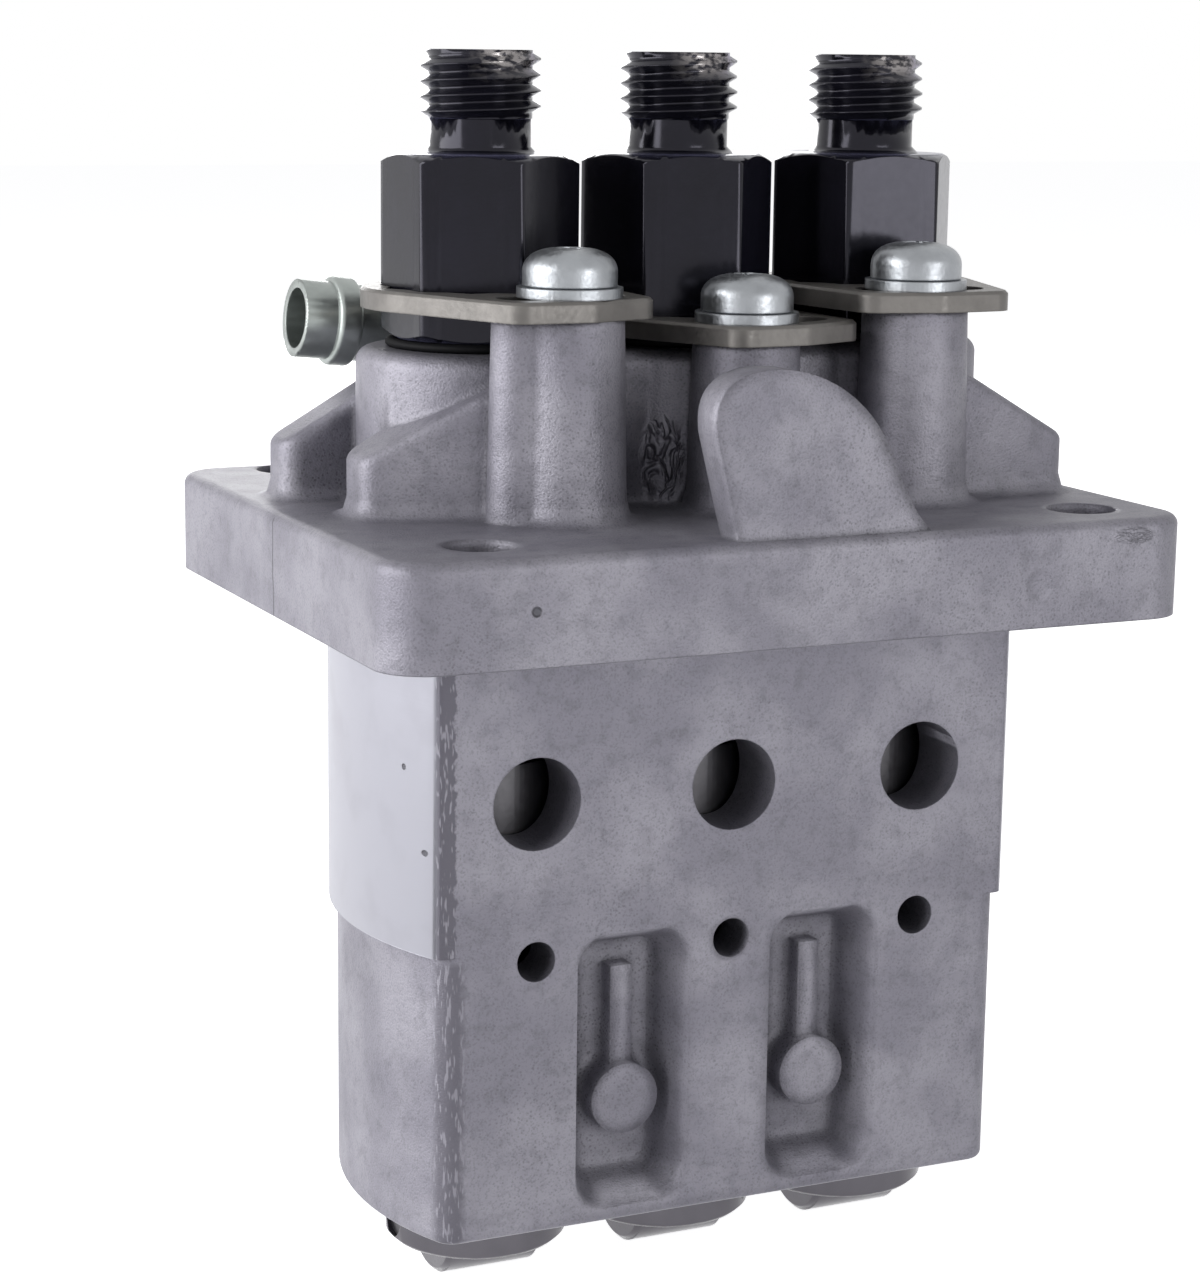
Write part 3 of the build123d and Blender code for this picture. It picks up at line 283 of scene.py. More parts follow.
def blasted_skin(tree, place, settings):
    """The colour of the cast skin: faint clouds of two greys, mottle, grain, pores with more dirt in the
    hollows, and painted shade that darkens the hollows. Returns the colour and the grain."""
    cloud_width, mottle_width, dirt_width = 11 * MM, 2.2 * MM, 14 * MM
    pore_gap, hollow_reach = 0.42 * MM, 7 * MM
    dirt_in_hollows, shadow_in_hollows = 0.55, 0.45

    clouds = node(tree, "TexNoise", {"Vector": place, "Scale": 1 / cloud_width, "Detail": 3.0})
    clouds = node(tree, "MapRange", {"Value": clouds, "From Min": 0.35, "From Max": 0.66}, **SMOOTH)
    skin = node(tree, "Mix", {0: clouds, 6: settings.dark, 7: settings.grey}, 2, data_type="RGBA")

    mottle = {"Vector": place, "Scale": 1 / mottle_width, "Detail": 4.0, "Roughness": 0.7}
    mottle = node(tree, "TexNoise", mottle)
    mottle = {"Value": mottle, "From Min": 0.55, "From Max": 0.25, "To Max": 0.3}
    mottle = node(tree, "MapRange", mottle, **SMOOTH)
    grain = node(tree, "TexNoise", {"Vector": place, "Scale": 1 / settings.grain, "Detail": 2.0})
    pits = {"Value": grain, "From Min": 0.5, "From Max": 0.3, "To Max": 0.24}
    pits = node(tree, "MapRange", pits, **SMOOTH)

    hollow = node(tree, "AmbientOcclusion", {"Distance": hollow_reach}, "AO", samples=8)
    hollow = node(tree, "MapRange", {"Value": hollow, "From Min": 0.95, "From Max": 0.3}, **SMOOTH)
    pores = node(tree, "TexVoronoi", {"Vector": place, "Scale": 1 / pore_gap})
    pores = {"Value": pores, "From Min": 0.38, "From Max": 0.16, "To Max": 0.75}
    pores = node(tree, "MapRange", pores, **SMOOTH)
    dirty = node(tree, "TexNoise", {"Vector": place, "Scale": 1 / dirt_width, "Detail": 2.0})
    dirty = {"Value": dirty, "From Min": 0.4, "From Max": 0.65, "To Min": 0.1, "To Max": 0.45}
    dirty = node(tree, "MapRange", dirty)
    dirty = {0: hollow, 1: dirt_in_hollows, 2: dirty}
    dirty = node(tree, "Math", dirty, operation="MULTIPLY_ADD", use_clamp=True)
    pores = node(tree, "Math", {0: pores, 1: dirty}, operation="MULTIPLY")
    # Painted shade: the hollows found by ambient occlusion are darkened towards the pore colour
    shadow = node(tree, "Math", {0: hollow, 1: shadow_in_hollows}, operation="MULTIPLY")

    for dark_places in (mottle, pits, pores, shadow):
        skin = node(tree, "Mix", {0: dark_places, 6: skin, 7: settings.pore_and_shade}, 2, data_type="RGBA")
    return skin, grain


def turned_metal(tree, place, settings):
    """The colour of the turned faces, with a few smears, and the faint lines round the axis."""
    line_width, smear_width = 0.3 * MM, 7 * MM
    lines = node(tree, "Mapping", {"Vector": place, "Scale": (0.02, 0.02, 1.0)})
    lines = node(tree, "TexNoise", {"Vector": lines, "Scale": 1 / line_width, "Detail": 2.0})
    smears = node(tree, "TexNoise", {"Vector": place, "Scale": 1 / smear_width, "Detail": 3.0})
    smears = {"Value": smears, "From Min": 0.45, "From Max": 0.7, "To Max": 0.3}
    smears = node(tree, "MapRange", smears, **SMOOTH)
    bright = {0: smears, 6: settings.machined, 7: settings.grey}
    return node(tree, "Mix", bright, 2, data_type="RGBA"), lines


def burnished_shaded_strip(tree, place, axes, settings):
    """The strip down the front left corner: a darker colour that is a painted reflection, chattered
    across by a tool's real marks, and its mask, ragged on one side, from below the flange to the end of
    the turned part."""
    x, y, z = axes
    ragged_width, chatter_width = 1.2 * MM, 0.3 * MM
    strip_raggedness, corner_raggedness, corner_strength = -1.6 * MM, -1.4 * MM, 0.85
    ragged = node(tree, "TexNoise", {"Vector": place, "Scale": 1 / ragged_width, "Detail": 3.0})
    strip_side = {0: ragged, 1: strip_raggedness, 2: x}
    strip_side = node(tree, "Math", strip_side, operation="MULTIPLY_ADD")
    ragged_edge, at_front = (strip_side, -30.9, -31.1), (y, -14.9, -15.3)
    above_step = (z, -PILOT_LENGTH - 0.1, -PILOT_LENGTH + 0.1)
    under_flange = (z, -1.0, -2.0)
    strip = region(tree, ragged_edge, at_front, above_step, under_flange)
    # Below the turned part the rounded corner of the casting gets the painted dark reflection too, less
    # strongly
    corner_side = {0: ragged, 1: corner_raggedness, 2: x}
    corner_side = node(tree, "Math", corner_side, operation="MULTIPLY_ADD")
    ragged_edge, near_front = (corner_side, -29.6, -30.5), (y, -13.4, -14.4)
    below_step = (z, -PILOT_LENGTH - 0.4, -PILOT_LENGTH - 1.0)
    corner = region(tree, ragged_edge, near_front, below_step)
    corner_shade = node(tree, "Math", {0: corner, 1: corner_strength}, operation="MULTIPLY")
    strip = node(tree, "Math", {0: strip, 1: corner_shade}, operation="MAXIMUM")

    chatter = {"Vector": place, "Rotation": (0, math.radians(55), 0), "Scale": (1, 1, 0.2)}
    chatter = node(tree, "Mapping", chatter)
    chatter = node(tree, "TexNoise", {"Vector": chatter, "Scale": 1 / chatter_width, "Detail": 1.0})
    chatter = {"Value": chatter, "From Min": 0.54, "From Max": 0.66, "To Max": 0.8}
    chatter = node(tree, "MapRange", chatter, **SMOOTH)
    shaded_strip_colour = {0: chatter, 6: settings.burnish_and_shade, 7: settings.grey}
    return node(tree, "Mix", shaded_strip_colour, 2, data_type="RGBA"), strip


def parting_line(tree, place, axes):
    """The mask of the die's parting line down the flange's left side, which wavers a little."""
    x, y, _ = axes
    waver_width, waver_reach, line_back = 3.5 * MM, 0.9 * MM, 1.65 * MM
    waver = node(tree, "TexNoise", {"Vector": place, "Scale": 1 / waver_width, "Detail": 1.0})
    off_line = node(tree, "Math", {0: waver, 1: waver_reach, 2: y}, operation="MULTIPLY_ADD")
    off_line = node(tree, "Math", {0: off_line, 1: line_back}, operation="ADD")
    off_line = node(tree, "Math", {0: off_line}, operation="ABSOLUTE")
    on_line, left_side = (off_line, 0.15, 0.07), (x, -FLANGE_LEFT + 0.3, -FLANGE_LEFT + 0.1)
    return region(tree, on_line, left_side)


def cast_edges(tree, axes, settings):
    """The radius that the edges seem rounded by: crisp where turned, soft where cast."""
    x, y, z = axes
    crisp = 0.25 * MM
    pocket_softness, fin_softness = 1.5 * MM, 1.3 * MM
    below_openings, above_flange_middle = (z, -36, -38), (z, 6, 9)
    lower = region(tree, below_openings)
    upper = region(tree, above_flange_middle)
    cast = node(tree, "Math", {0: lower, 1: upper}, operation="MAXIMUM")
    edge = node(tree, "MapRange", {"Value": cast, "To Min": crisp, "To Max": settings.edge})
    # The walls of the pockets run into their floors
    sideways = node(tree, "Math", {0: x}, operation="ABSOLUTE")
    between_outer_walls, below_pocket_top = (sideways, 18.0, 16.5), (z, -30.8, -33.0)
    pocket = region(tree, between_outer_walls, below_pocket_top)
    edge = node(tree, "Math", {0: pocket, 1: pocket_softness, 2: edge}, operation="MULTIPLY_ADD")
    # The fin on the flange's front edge is well rounded too
    fin_front, above_fin_foot = (y, -26.0, -28.0), (z, 9.5, 12.0)
    fin = region(tree, fin_front, above_fin_foot)
    return node(tree, "Math", {0: fin, 1: fin_softness, 2: edge}, operation="MULTIPLY_ADD")


def cast_aluminium(settings):
    """Pressure die cast aluminium, blasted: matt and finely pitted, with dirt in the pores of its
    hollows, painted shade that darkens the hollows and a painted dark reflection down the front left
    corner. The turned ends under the flange and the cut faces are smoother and brighter."""
    material, tree, shader, place = new_material("blasted_cast_aluminium")
    axes = node(tree, "SeparateXYZ", {"Vector": place}).node.outputs
    x, y, z = axes
    across = node(tree, "CombineXYZ", {"X": x, "Y": y})
    radius = node(tree, "VectorMath", {0: across}, "Value", operation="LENGTH")
    level = node(tree, "Math", {0: z}, operation="ABSOLUTE")

    # Cut faces: the ends turned below the flange, the flange's underside, and a band round the foot
    past_cast_ends = (radius, PILOT_RADIUS - 0.25, PILOT_RADIUS - 0.15)
    above_step = (z, -PILOT_LENGTH - 0.1, -PILOT_LENGTH + 0.1)
    below_flange, at_underside = (z, 0.05, 0.02), (level, 0.05, 0.02)
    at_foot = (z, -BODY_LENGTH + 0.3, -BODY_LENGTH + 0.05)
    cut = region(tree, past_cast_ends, above_step, below_flange)
    for flat_face in (at_underside, at_foot):
        cut = node(tree, "Math", {0: cut, 1: region(tree, flat_face)}, operation="MAXIMUM")
    uncut = node(tree, "Math", {0: 1.0, 1: cut}, operation="SUBTRACT")

    skin, grain = blasted_skin(tree, place, settings)
    bright, lines = turned_metal(tree, place, settings)
    shaded_strip_colour, strip = burnished_shaded_strip(tree, place, axes, settings)
    parting = parting_line(tree, place, axes)
    colour = node(tree, "Mix", {0: cut, 6: skin, 7: bright}, 2, data_type="RGBA")
    # Painted dark reflection down the front left corner, with the real chatter marks of a tool
    colour = node(tree, "Mix", {0: strip, 6: colour, 7: shaded_strip_colour}, 2, data_type="RGBA")

    # The parting line and the marks that reach less than a dent are stained as well as cut
    stain_strength, line_depth, dent_reach, dent_core, fold_core = 0.85, -1.5, 1.0, 0.55, 0.6
    relief = node(tree, "Math", {0: parting, 1: line_depth}, operation="MULTIPLY")
    stains = [parting]
    # Single marks: where each is, how it is squeezed, how far it reaches, and how deep it is cut
    for spot, squeeze, reach, depth in (
        ((-30.2, -FLANGE_FRONT, 5.2), (1, 1, 1), 0.55, -5.0),
        ((-33.8, -11.0, -14.0), (1, 1, 1), 0.36, -5.0),
        ((-32.8, -13.9, -22.1), (1, 0.6, 1), 0.36, -4.0),
        ((22.8, -FLANGE_FRONT, 4.3), (1, 1, 1), 1.7, -1.6),
    ):
        mark, _ = patch(tree, place, spot, squeeze, reach, dent_core)
        relief = node(tree, "Math", {0: mark, 1: depth, 2: relief}, operation="MULTIPLY_ADD")
        if reach < dent_reach:
            stains.append(mark)
    for stain in stains:
        stain = node(tree, "Math", {0: stain, 1: stain_strength}, operation="MULTIPLY")
        colour = node(tree, "Mix", {0: stain, 6: colour, 7: settings.pore_and_shade}, 2, data_type="RGBA")

    # The metal folded in the die beside the second boss, and crumbled at the flange's upper right
    # edge: where it is, how it is squeezed, how far it reaches, and how wide and deep a fold is
    for spot, squeeze, reach, fold, depth in (
        ((-6.4, -10.7, 14.8), (1.0, 1.0, 0.55), 2.6, 1.9, 6.0),
        ((33.5, -FLANGE_FRONT, 8.5), (0.35, 1.0, 1.0), 0.95, 0.6, 2.5),
    ):
        folded, squeezed = patch(tree, place, spot, squeeze, reach, fold_core)
        folds = {"Vector": squeezed, "Scale": 1 / (fold * MM), "Detail": 2.0, "Distortion": 1.2}
        folds = node(tree, "TexNoise", folds)
        # The crease of each fold runs where the noise crosses its middle
        folds = node(tree, "Math", {0: folds, 1: 0.5}, operation="SUBTRACT")
        folds = node(tree, "Math", {0: folds}, operation="ABSOLUTE")
        folds = node(tree, "MapRange", {"Value": folds, "From Min": 0.0, "From Max": 0.12}, **SMOOTH)
        folds = node(tree, "Math", {0: folds, 1: folded}, operation="MULTIPLY")
        relief = node(tree, "Math", {0: folds, 1: depth, 2: relief}, operation="MULTIPLY_ADD")

    tree.links.new(colour, shader.inputs["Base Color"])
    shader.inputs["Metallic"].default_value = 0.38
    shader.inputs["Specular IOR Level"].default_value = 0.35
    rough = node(tree, "MapRange", {"Value": cut, "To Min": 0.5, "To Max": 0.38})
    tree.links.new(rough, shader.inputs["Roughness"])

    # Grain, the larger unevenness of the die, and the faint lines of the turned ends. The heights of
    # the lumps, the lines and the marks are multiples of the grain's
    lump_width, grain_height = 2.6 * MM, 0.06 * MM
    lump_height, line_height = 1.6, 0.12
    lumps = node(tree, "TexNoise", {"Vector": place, "Scale": 1 / lump_width, "Detail": 2.0})
    height = node(tree, "Math", {0: lumps, 1: lump_height, 2: grain}, operation="MULTIPLY_ADD")
    height = node(tree, "Math", {0: height, 1: uncut, 2: relief}, operation="MULTIPLY_ADD")
    fine_lines = node(tree, "Math", {0: lines, 1: cut}, operation="MULTIPLY")
    height = node(tree, "Math", {0: fine_lines, 1: line_height, 2: height}, operation="MULTIPLY_ADD")
    soft = node(tree, "Bevel", {"Radius": cast_edges(tree, axes, settings)}, samples=12)
    bump = {"Height": height, "Distance": grain_height, "Normal": soft}
    tree.links.new(node(tree, "Bump", bump, "Normal"), shader.inputs["Normal"])
    return material


def black_oxide(settings):
    """Turned steel with an oiled black oxide skin: blue-black and half gloss, scraped to bare
    steel where the thread starts were crushed."""
    material, tree, shader, place = new_material("black_oxide_steel")
    cloud_width, scrape_width, smear_width, skin_width = 5 * MM, 1.1 * MM, 0.8 * MM, 0.4 * MM
    skin_height, edge, bare_metallic = 0.003 * MM, 0.1 * MM, 0.8
    # A multiple of the skin's height
    scrape_height = 6.0
    cloud = node(tree, "TexNoise", {"Vector": place, "Scale": 1 / cloud_width, "Detail": 4.0})
    cloud = node(tree, "MapRange", {"Value": cloud, "From Min": 0.35, "From Max": 0.7, "To Max": 0.6})
    skin = node(tree, "Mix", {0: cloud, 6: settings.oxide, 7: settings.bloom}, 2, data_type="RGBA")
    crushed = node(tree, "Attribute", {}, "Fac", attribute_name="crushed")
    scraped = node(tree, "Mapping", {"Vector": place, "Scale": (1.0, 1.0, 2.2)})
    scraped = node(tree, "TexNoise", {"Vector": scraped, "Scale": 1 / scrape_width, "Detail": 4.0})
    scraped = node(tree, "MapRange", {"Value": scraped, "From Min": 0.42, "From Max": 0.56})
    bare = node(tree, "Math", {0: crushed, 1: scraped}, operation="MULTIPLY")
    colour = node(tree, "Mix", {0: bare, 6: skin, 7: settings.worn}, 2, data_type="RGBA")
    tree.links.new(colour, shader.inputs["Base Color"])
    metallic = node(tree, "Math", {0: bare, 1: bare_metallic}, operation="MULTIPLY")
    tree.links.new(metallic, shader.inputs["Metallic"])
    rough = node(tree, "TexNoise", {"Vector": place, "Scale": 1 / smear_width})
    rough = {"Value": rough, "From Min": 0.3, "From Max": 0.7, "To Min": 0.14, "To Max": 0.19}
    tree.links.new(node(tree, "MapRange", rough), shader.inputs["Roughness"])
    shader.inputs["Specular IOR Level"].default_value = 0.34
    shader.inputs["Specular Tint"].default_value = settings.gloss
    shader.inputs["Sheen Weight"].default_value = 0.16
    shader.inputs["Sheen Roughness"].default_value = 0.35
    shader.inputs["Sheen Tint"].default_value = settings.sheen
    fine = node(tree, "TexNoise", {"Vector": place, "Scale": 1 / skin_width, "Detail": 2.0})
    height = node(tree, "Math", {0: bare, 1: scrape_height, 2: fine}, operation="MULTIPLY_ADD")
    soft = node(tree, "Bevel", {"Radius": edge}, samples=4)
    normal = node(tree, "Bump", {"Height": height, "Distance": skin_height, "Normal": soft}, "Normal")
    tree.links.new(normal, shader.inputs["Normal"])
    return material


def bare_metal(name, colour, roughness, metallic=1.0, grain=0.5, depth=0.01, stain=0.3):
    """A ground, rolled or plated metal: one colour with faint stains, and marks from how it was
    made, whose width and depth are in millimetres."""
    material, tree, shader, place = new_material(name)
    stain_width, stain_shade, edge = 3 * MM, 0.5, 0.2 * MM
    stains = node(tree, "TexNoise", {"Vector": place, "Scale": 1 / stain_width, "Detail": 4.0})
    stains = node(tree, "MapRange", {"Value": stains, "From Min": 0.4, "From Max": 0.75, "To Max": stain})
    dull = tuple(channel * stain_shade for channel in colour[:3]) + (1.0,)
    stained = node(tree, "Mix", {0: stains, 6: colour, 7: dull}, 2, data_type="RGBA")
    tree.links.new(stained, shader.inputs["Base Color"])
    shader.inputs["Metallic"].default_value = metallic
    marks = node(tree, "TexNoise", {"Vector": place, "Scale": 1 / (grain * MM), "Detail": 3.0})
    # The marks make it a little glossier or duller from place to place
    glossiest, dullest = roughness - 0.06, roughness + 0.08
    rough = {"Value": marks, "From Min": 0.3, "From Max": 0.7, "To Min": glossiest, "To Max": dullest}
    tree.links.new(node(tree, "MapRange", rough), shader.inputs["Roughness"])
    soft = node(tree, "Bevel", {"Radius": edge}, samples=4)
    normal = node(tree, "Bump", {"Height": marks, "Distance": depth * MM, "Normal": soft}, "Normal")
    tree.links.new(normal, shader.inputs["Normal"])
    return material


def rubber(settings):
    """Moulded nitrile rubber: black and slightly sheened, with a little dust."""
    material, tree, shader, place = new_material("nitrile_rubber")
    speck_width, speck_height = 0.9 * MM, 0.004 * MM
    dust = node(tree, "TexNoise", {"Vector": place, "Scale": 1 / speck_width, "Detail": 3.0})
    dust = node(tree, "MapRange", {"Value": dust, "From Min": 0.5, "From Max": 0.8, "To Max": 0.3})
    colour = node(tree, "Mix", {0: dust, 6: settings.rubber, 7: settings.dust}, 2, data_type="RGBA")
    tree.links.new(colour, shader.inputs["Base Color"])
    shader.inputs["Roughness"].default_value = 0.6
    shader.inputs["Specular IOR Level"].default_value = 0.1
    normal = node(tree, "Bump", {"Height": dust, "Distance": speck_height}, "Normal")
    tree.links.new(normal, shader.inputs["Normal"])
    return material


def paint(obj, material):
    """Gives the whole of a piece one material."""
    if not obj.material_slots:
        obj.data.materials.append(material)
    for slot in obj.material_slots:
        slot.material = material


# Meshes


def body_of(cad_node):
    """The body that a CAD node belongs to."""
    for body, members in frame["record"]["behaviour"]["bodies"].items():
        if cad_node in members:
            return body
    raise ValueError(f"no body holds {cad_node}")


def mesh_from(name, bm):
    """Makes a bmesh into a mesh, and frees it."""
    mesh = bpy.data.meshes.new(name)
    bm.to_mesh(mesh)
    bm.free()
    return mesh


def join_into(target, added):
    """Adds a bmesh to another one, and frees it."""
    mesh = mesh_from("added", added)
    target.from_mesh(mesh)
    bpy.data.meshes.remove(mesh)


def merged(cad_node):
    """A bmesh copy of a CAD node with its loose triangles joined."""
    bm = bmesh.new()
    bm.from_mesh(frame["nodes"][cad_node].data)
    bmesh.ops.remove_doubles(bm, verts=bm.verts, dist=0.002 * MM)
    bmesh.ops.dissolve_degenerate(bm, edges=bm.edges, dist=0.001 * MM)
    return bm


def finish_piece(name, bm, cad_node, material, crease=32.0):
    """Makes a bmesh into a piece at the origin that stands for its CAD node."""
    mesh = mesh_from(name, bm)
    mesh.polygons.foreach_set("use_smooth", [True] * len(mesh.polygons))
    mesh.set_sharp_from_angle(angle=math.radians(crease))
    obj = bpy.data.objects.new(name, mesh)
    bpy.context.scene.collection.objects.link(obj)
    paint(obj, material)
    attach(obj, body_of(cad_node))
    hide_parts(cad_node)
    flat = obj.modifiers.new("flat_faces", "WEIGHTED_NORMAL")
    flat.keep_sharp = True
    flat.weight = 90
    return obj


def smooth_copy(name, cad_node, material):
    """A joined and smoothly shaded copy of a CAD node in its own finish."""
    return finish_piece(name, merged(cad_node), cad_node, material)


def full_thread(centre, low, high, settings):
    """A right-handed V thread with flat crests, open and a little too long at both ends."""
    root, pitch, steps = settings.root, settings.pitch, settings.turn_steps
    flank = (CREST_RADIUS - root) * math.tan(math.radians(30))
    flat = pitch / 8
    start = low - 1.5 * pitch
    turns = math.ceil((high - start) / pitch) + 1
    heights = (0.0, flank, flank + flat, 2 * flank + flat, pitch)
    radii = (root, CREST_RADIUS, CREST_RADIUS, root, root)
    thread = bmesh.new()
    verts = [thread.verts.new((centre + r, 0.0, start + h)) for r, h in zip(radii, heights)]
    edges = [thread.edges.new(pair) for pair in zip(verts, verts[1:])]
    bmesh.ops.spin(
        thread,
        geom=verts + edges,
        cent=(centre, 0, 0),
        axis=(0, 0, 1),
        dvec=(0, 0, pitch / steps),
        angle=2 * math.pi * turns,
        steps=steps * turns,
        use_merge=False,
        use_duplicate=False,
    )
    bmesh.ops.remove_doubles(thread, verts=thread.verts, dist=0.004 * MM)
    return thread


def cut_thread_ends(thread, centre, low, high):
    """Cuts a thread off at two heights and turns a chamfer on both ends."""
    for height, normal in ((low, (0, 0, -1)), (high, (0, 0, 1))):
        bmesh.ops.bisect_plane(
            thread,
            geom=thread.verts[:] + thread.edges[:] + thread.faces[:],
            dist=1e-8,
            plane_co=(0, 0, height),
            plane_no=normal,
            clear_outer=True,
        )
    for vert in thread.verts:
        out = Vector((vert.co.x - centre, vert.co.y))
        limit = min(
            TOP_CHAMFER_RADIUS + (high - vert.co.z),
            FOOT_CHAMFER_RADIUS + FOOT_CHAMFER_SLOPE * (vert.co.z - low),
        )
        if out.length > limit:
            out.length = limit
            vert.co.x = centre + out.x
            vert.co.y = out.y


def crush_thread_start(thread, centre, high, root):
    """Crushes the first turns on one side, where a nut or a tool has struck them. The crushed
    attribute tells the finish how hard each place was hit."""
    struck_side = Vector((0.35, -0.94))
    struck_length = 3.0 * MM
    # Cosine of the angle at which the damage starts, and how fast it grows from there
    damage_start, growth = 0.62, 3.2
    scraping, flattening = 1.8, 1.6
    left_over = root + 0.15 * MM
    crushed = thread.verts.layers.float.new("crushed")
    for vert in thread.verts:
        out = Vector((vert.co.x - centre, vert.co.y))
        facing = out.normalized().dot(struck_side)
        near_start = max(0.0, 1.0 - (high - vert.co.z) / struck_length)
        hit = max(0.0, min(1.0, growth * (facing - damage_start))) * near_start
        vert[crushed] = min(1.0, scraping * hit)
        out.length -= max(0.0, out.length - left_over) * min(1.0, flattening * hit)
        vert.co.x = centre + out.x
        vert.co.y = out.y


def threaded_fitting(number, settings, material):
    """A delivery valve holder: the CAD body with a real thread in place of its plain cylinder."""
    cad_node = f"delivery_valve_holder_{number}"
    lowest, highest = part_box(cad_node)
    centre = (lowest[0] + highest[0]) / 2
    top = highest[2]
    low = top - THREAD_LENGTH
    near = 0.01 * MM

    fitting = merged(cad_node)
    outer = [
        face
        for face in fitting.faces
        if min(v.co.z for v in face.verts) > low - near
        and max(math.hypot(v.co.x - centre, v.co.y) for v in face.verts) > OUTLET_RADIUS + 0.1 * MM
    ]
    bmesh.ops.delete(fitting, geom=outer, context="FACES")

    thread = full_thread(centre, low, top, settings)
    cut_thread_ends(thread, centre, low, top)
    crush_thread_start(thread, centre, top, settings.root)
    join_into(fitting, thread)

    # A ring joins the neck to the thread's foot, and another the outlet's rim to its top
    for height in (low, top):
        rims = [
            edge
            for edge in fitting.edges
            if edge.is_boundary and all(abs(v.co.z - height) < near for v in edge.verts)
        ]
        bmesh.ops.bridge_loops(fitting, edges=rims)
    bmesh.ops.recalc_face_normals(fitting, faces=fitting.faces)
    return finish_piece(f"threaded_holder_{number}", fitting, cad_node, material)


def lathe(points, foot, steps):
    """A closed solid of revolution about an upright axis, from pairs of radius and height over
    its foot."""
    bm = bmesh.new()
    verts = [bm.verts.new((r, 0.0, h)) for r, h in points]
    edges = [bm.edges.new(pair) for pair in zip(verts, verts[1:])]
    bmesh.ops.spin(
        bm,
        geom=verts + edges,
        cent=(0, 0, 0),
        axis=(0, 0, 1),
        angle=2 * math.pi,
        steps=steps,
        use_merge=True,
        use_duplicate=False,
    )
    bmesh.ops.remove_doubles(bm, verts=bm.verts, dist=0.002 * MM)
    bmesh.ops.recalc_face_normals(bm, faces=bm.faces)
    bmesh.ops.translate(bm, verts=bm.verts, vec=foot)
    return bm


def cross_cutter(settings, centre, turn):
    """A cross, tapered downwards, that cuts the recess of a screw head."""
    half_height = 2.3 * MM
    length_taper, width_taper = 0.35, 0.6
    size = (2 * settings.recess_reach, settings.recess_width, 2 * half_height)
    bm = bmesh.new()
    for quarter in (0, 90):
        arm = bmesh.ops.create_cube(bm, size=1.0)["verts"]
        bmesh.ops.scale(bm, verts=arm, vec=size)
        for vert in arm:
            if vert.co.z < 0:
                vert.co.x *= length_taper
                vert.co.y *= width_taper
        bmesh.ops.rotate(bm, verts=arm, matrix=Matrix.Rotation(math.radians(quarter + turn), 3, "Z"))
    bmesh.ops.translate(bm, verts=bm.verts, vec=centre)
    return bm


def cut_with(target, cutter):
    """Takes a closed cutter out of a closed bmesh and returns the result."""
    both = []
    for name, bm in (("target", target), ("cutter", cutter)):
        obj = bpy.data.objects.new(name, mesh_from(name, bm))
        bpy.context.scene.collection.objects.link(obj)
        both.append(obj)
    cut = both[0].modifiers.new("cut", "BOOLEAN")
    cut.operation = "DIFFERENCE"
    cut.solver = "EXACT"
    cut.use_self = True
    cut.object = both[1]
    bpy.context.view_layer.update()
    evaluated = both[0].evaluated_get(bpy.context.evaluated_depsgraph_get())
    result = bpy.data.meshes.new_from_object(evaluated)
    bm = bmesh.new()
    bm.from_mesh(result)
    bpy.data.meshes.remove(result)
    for obj in both:
        mesh = obj.data
        bpy.data.objects.remove(obj)
        bpy.data.meshes.remove(mesh)
    return bm


def pan_head_screw(settings, x, y, top, turn):
    """A screw with a crowned pan head, turned so far about its axis, and a plain shank."""
    radius, height = settings.head_radius, settings.head_height
    side, corner = height * 0.4, 0.15 * MM
    crown_steps, fullness = 10, 0.62
    profile = [(0.0, 0.0), (radius - corner, 0.0), (radius, corner), (radius, side)]
    for step in range(1, crown_steps):
        angle = math.radians(90) * step / crown_steps
        profile.append((radius * math.cos(angle) ** fullness, side + (height - side) * math.sin(angle)))
    profile.append((0.0, height))
    foot = (x, y, top - height)
    above_crown = 0.6 * MM
    head = lathe(profile, foot, steps=48)
    head = cut_with(head, cross_cutter(settings, (x, y, top + above_crown), turn))

    shank_radius, tip_radius, tip, tip_length = 2.45 * MM, 2.2 * MM, -8.0 * MM, 0.4 * MM
    into_head = 0.02 * MM
    shank = [
        (0.0, tip),
        (tip_radius, tip),
        (shank_radius, tip + tip_length),
        (shank_radius, into_head),
        (0.0, into_head),
    ]
    join_into(head, lathe(shank, foot, steps=24))
    return head


# Operators


def settings():
    """The pump's settings on the scene."""
    return bpy.context.scene.injection_pump


class PUMP_OT_casting(bpy.types.Operator):
    """Finishes the aluminium housing"""

    bl_idname = "injection_pump.casting"
    bl_label = "Casting"

    def execute(self, context):
        casting = merged("pump_housing")
        # Triangles that lie in one plane become one face
        bmesh.ops.dissolve_limit(
            casting,
            angle_limit=math.radians(0.3),
            verts=casting.verts,
            edges=casting.edges,
            delimit={"NORMAL"},
        )
        aluminium = cast_aluminium(settings().casting)
        finish_piece("housing_casting", casting, "pump_housing", aluminium, crease=30.0)
        return {"FINISHED"}


class PUMP_OT_fittings(bpy.types.Operator):
    """Threads the delivery valve holders and finishes their seal rings"""

    bl_idname = "injection_pump.fittings"
    bl_label = "Delivery valve holders"

    def execute(self, context):
        oxide = black_oxide(settings().fittings)
        for number in ELEMENTS:
            threaded_fitting(number, settings().fittings, oxide)
        smooth_copy("seal_rings", "holder_seals", rubber(settings().tappets))
        return {"FINISHED"}


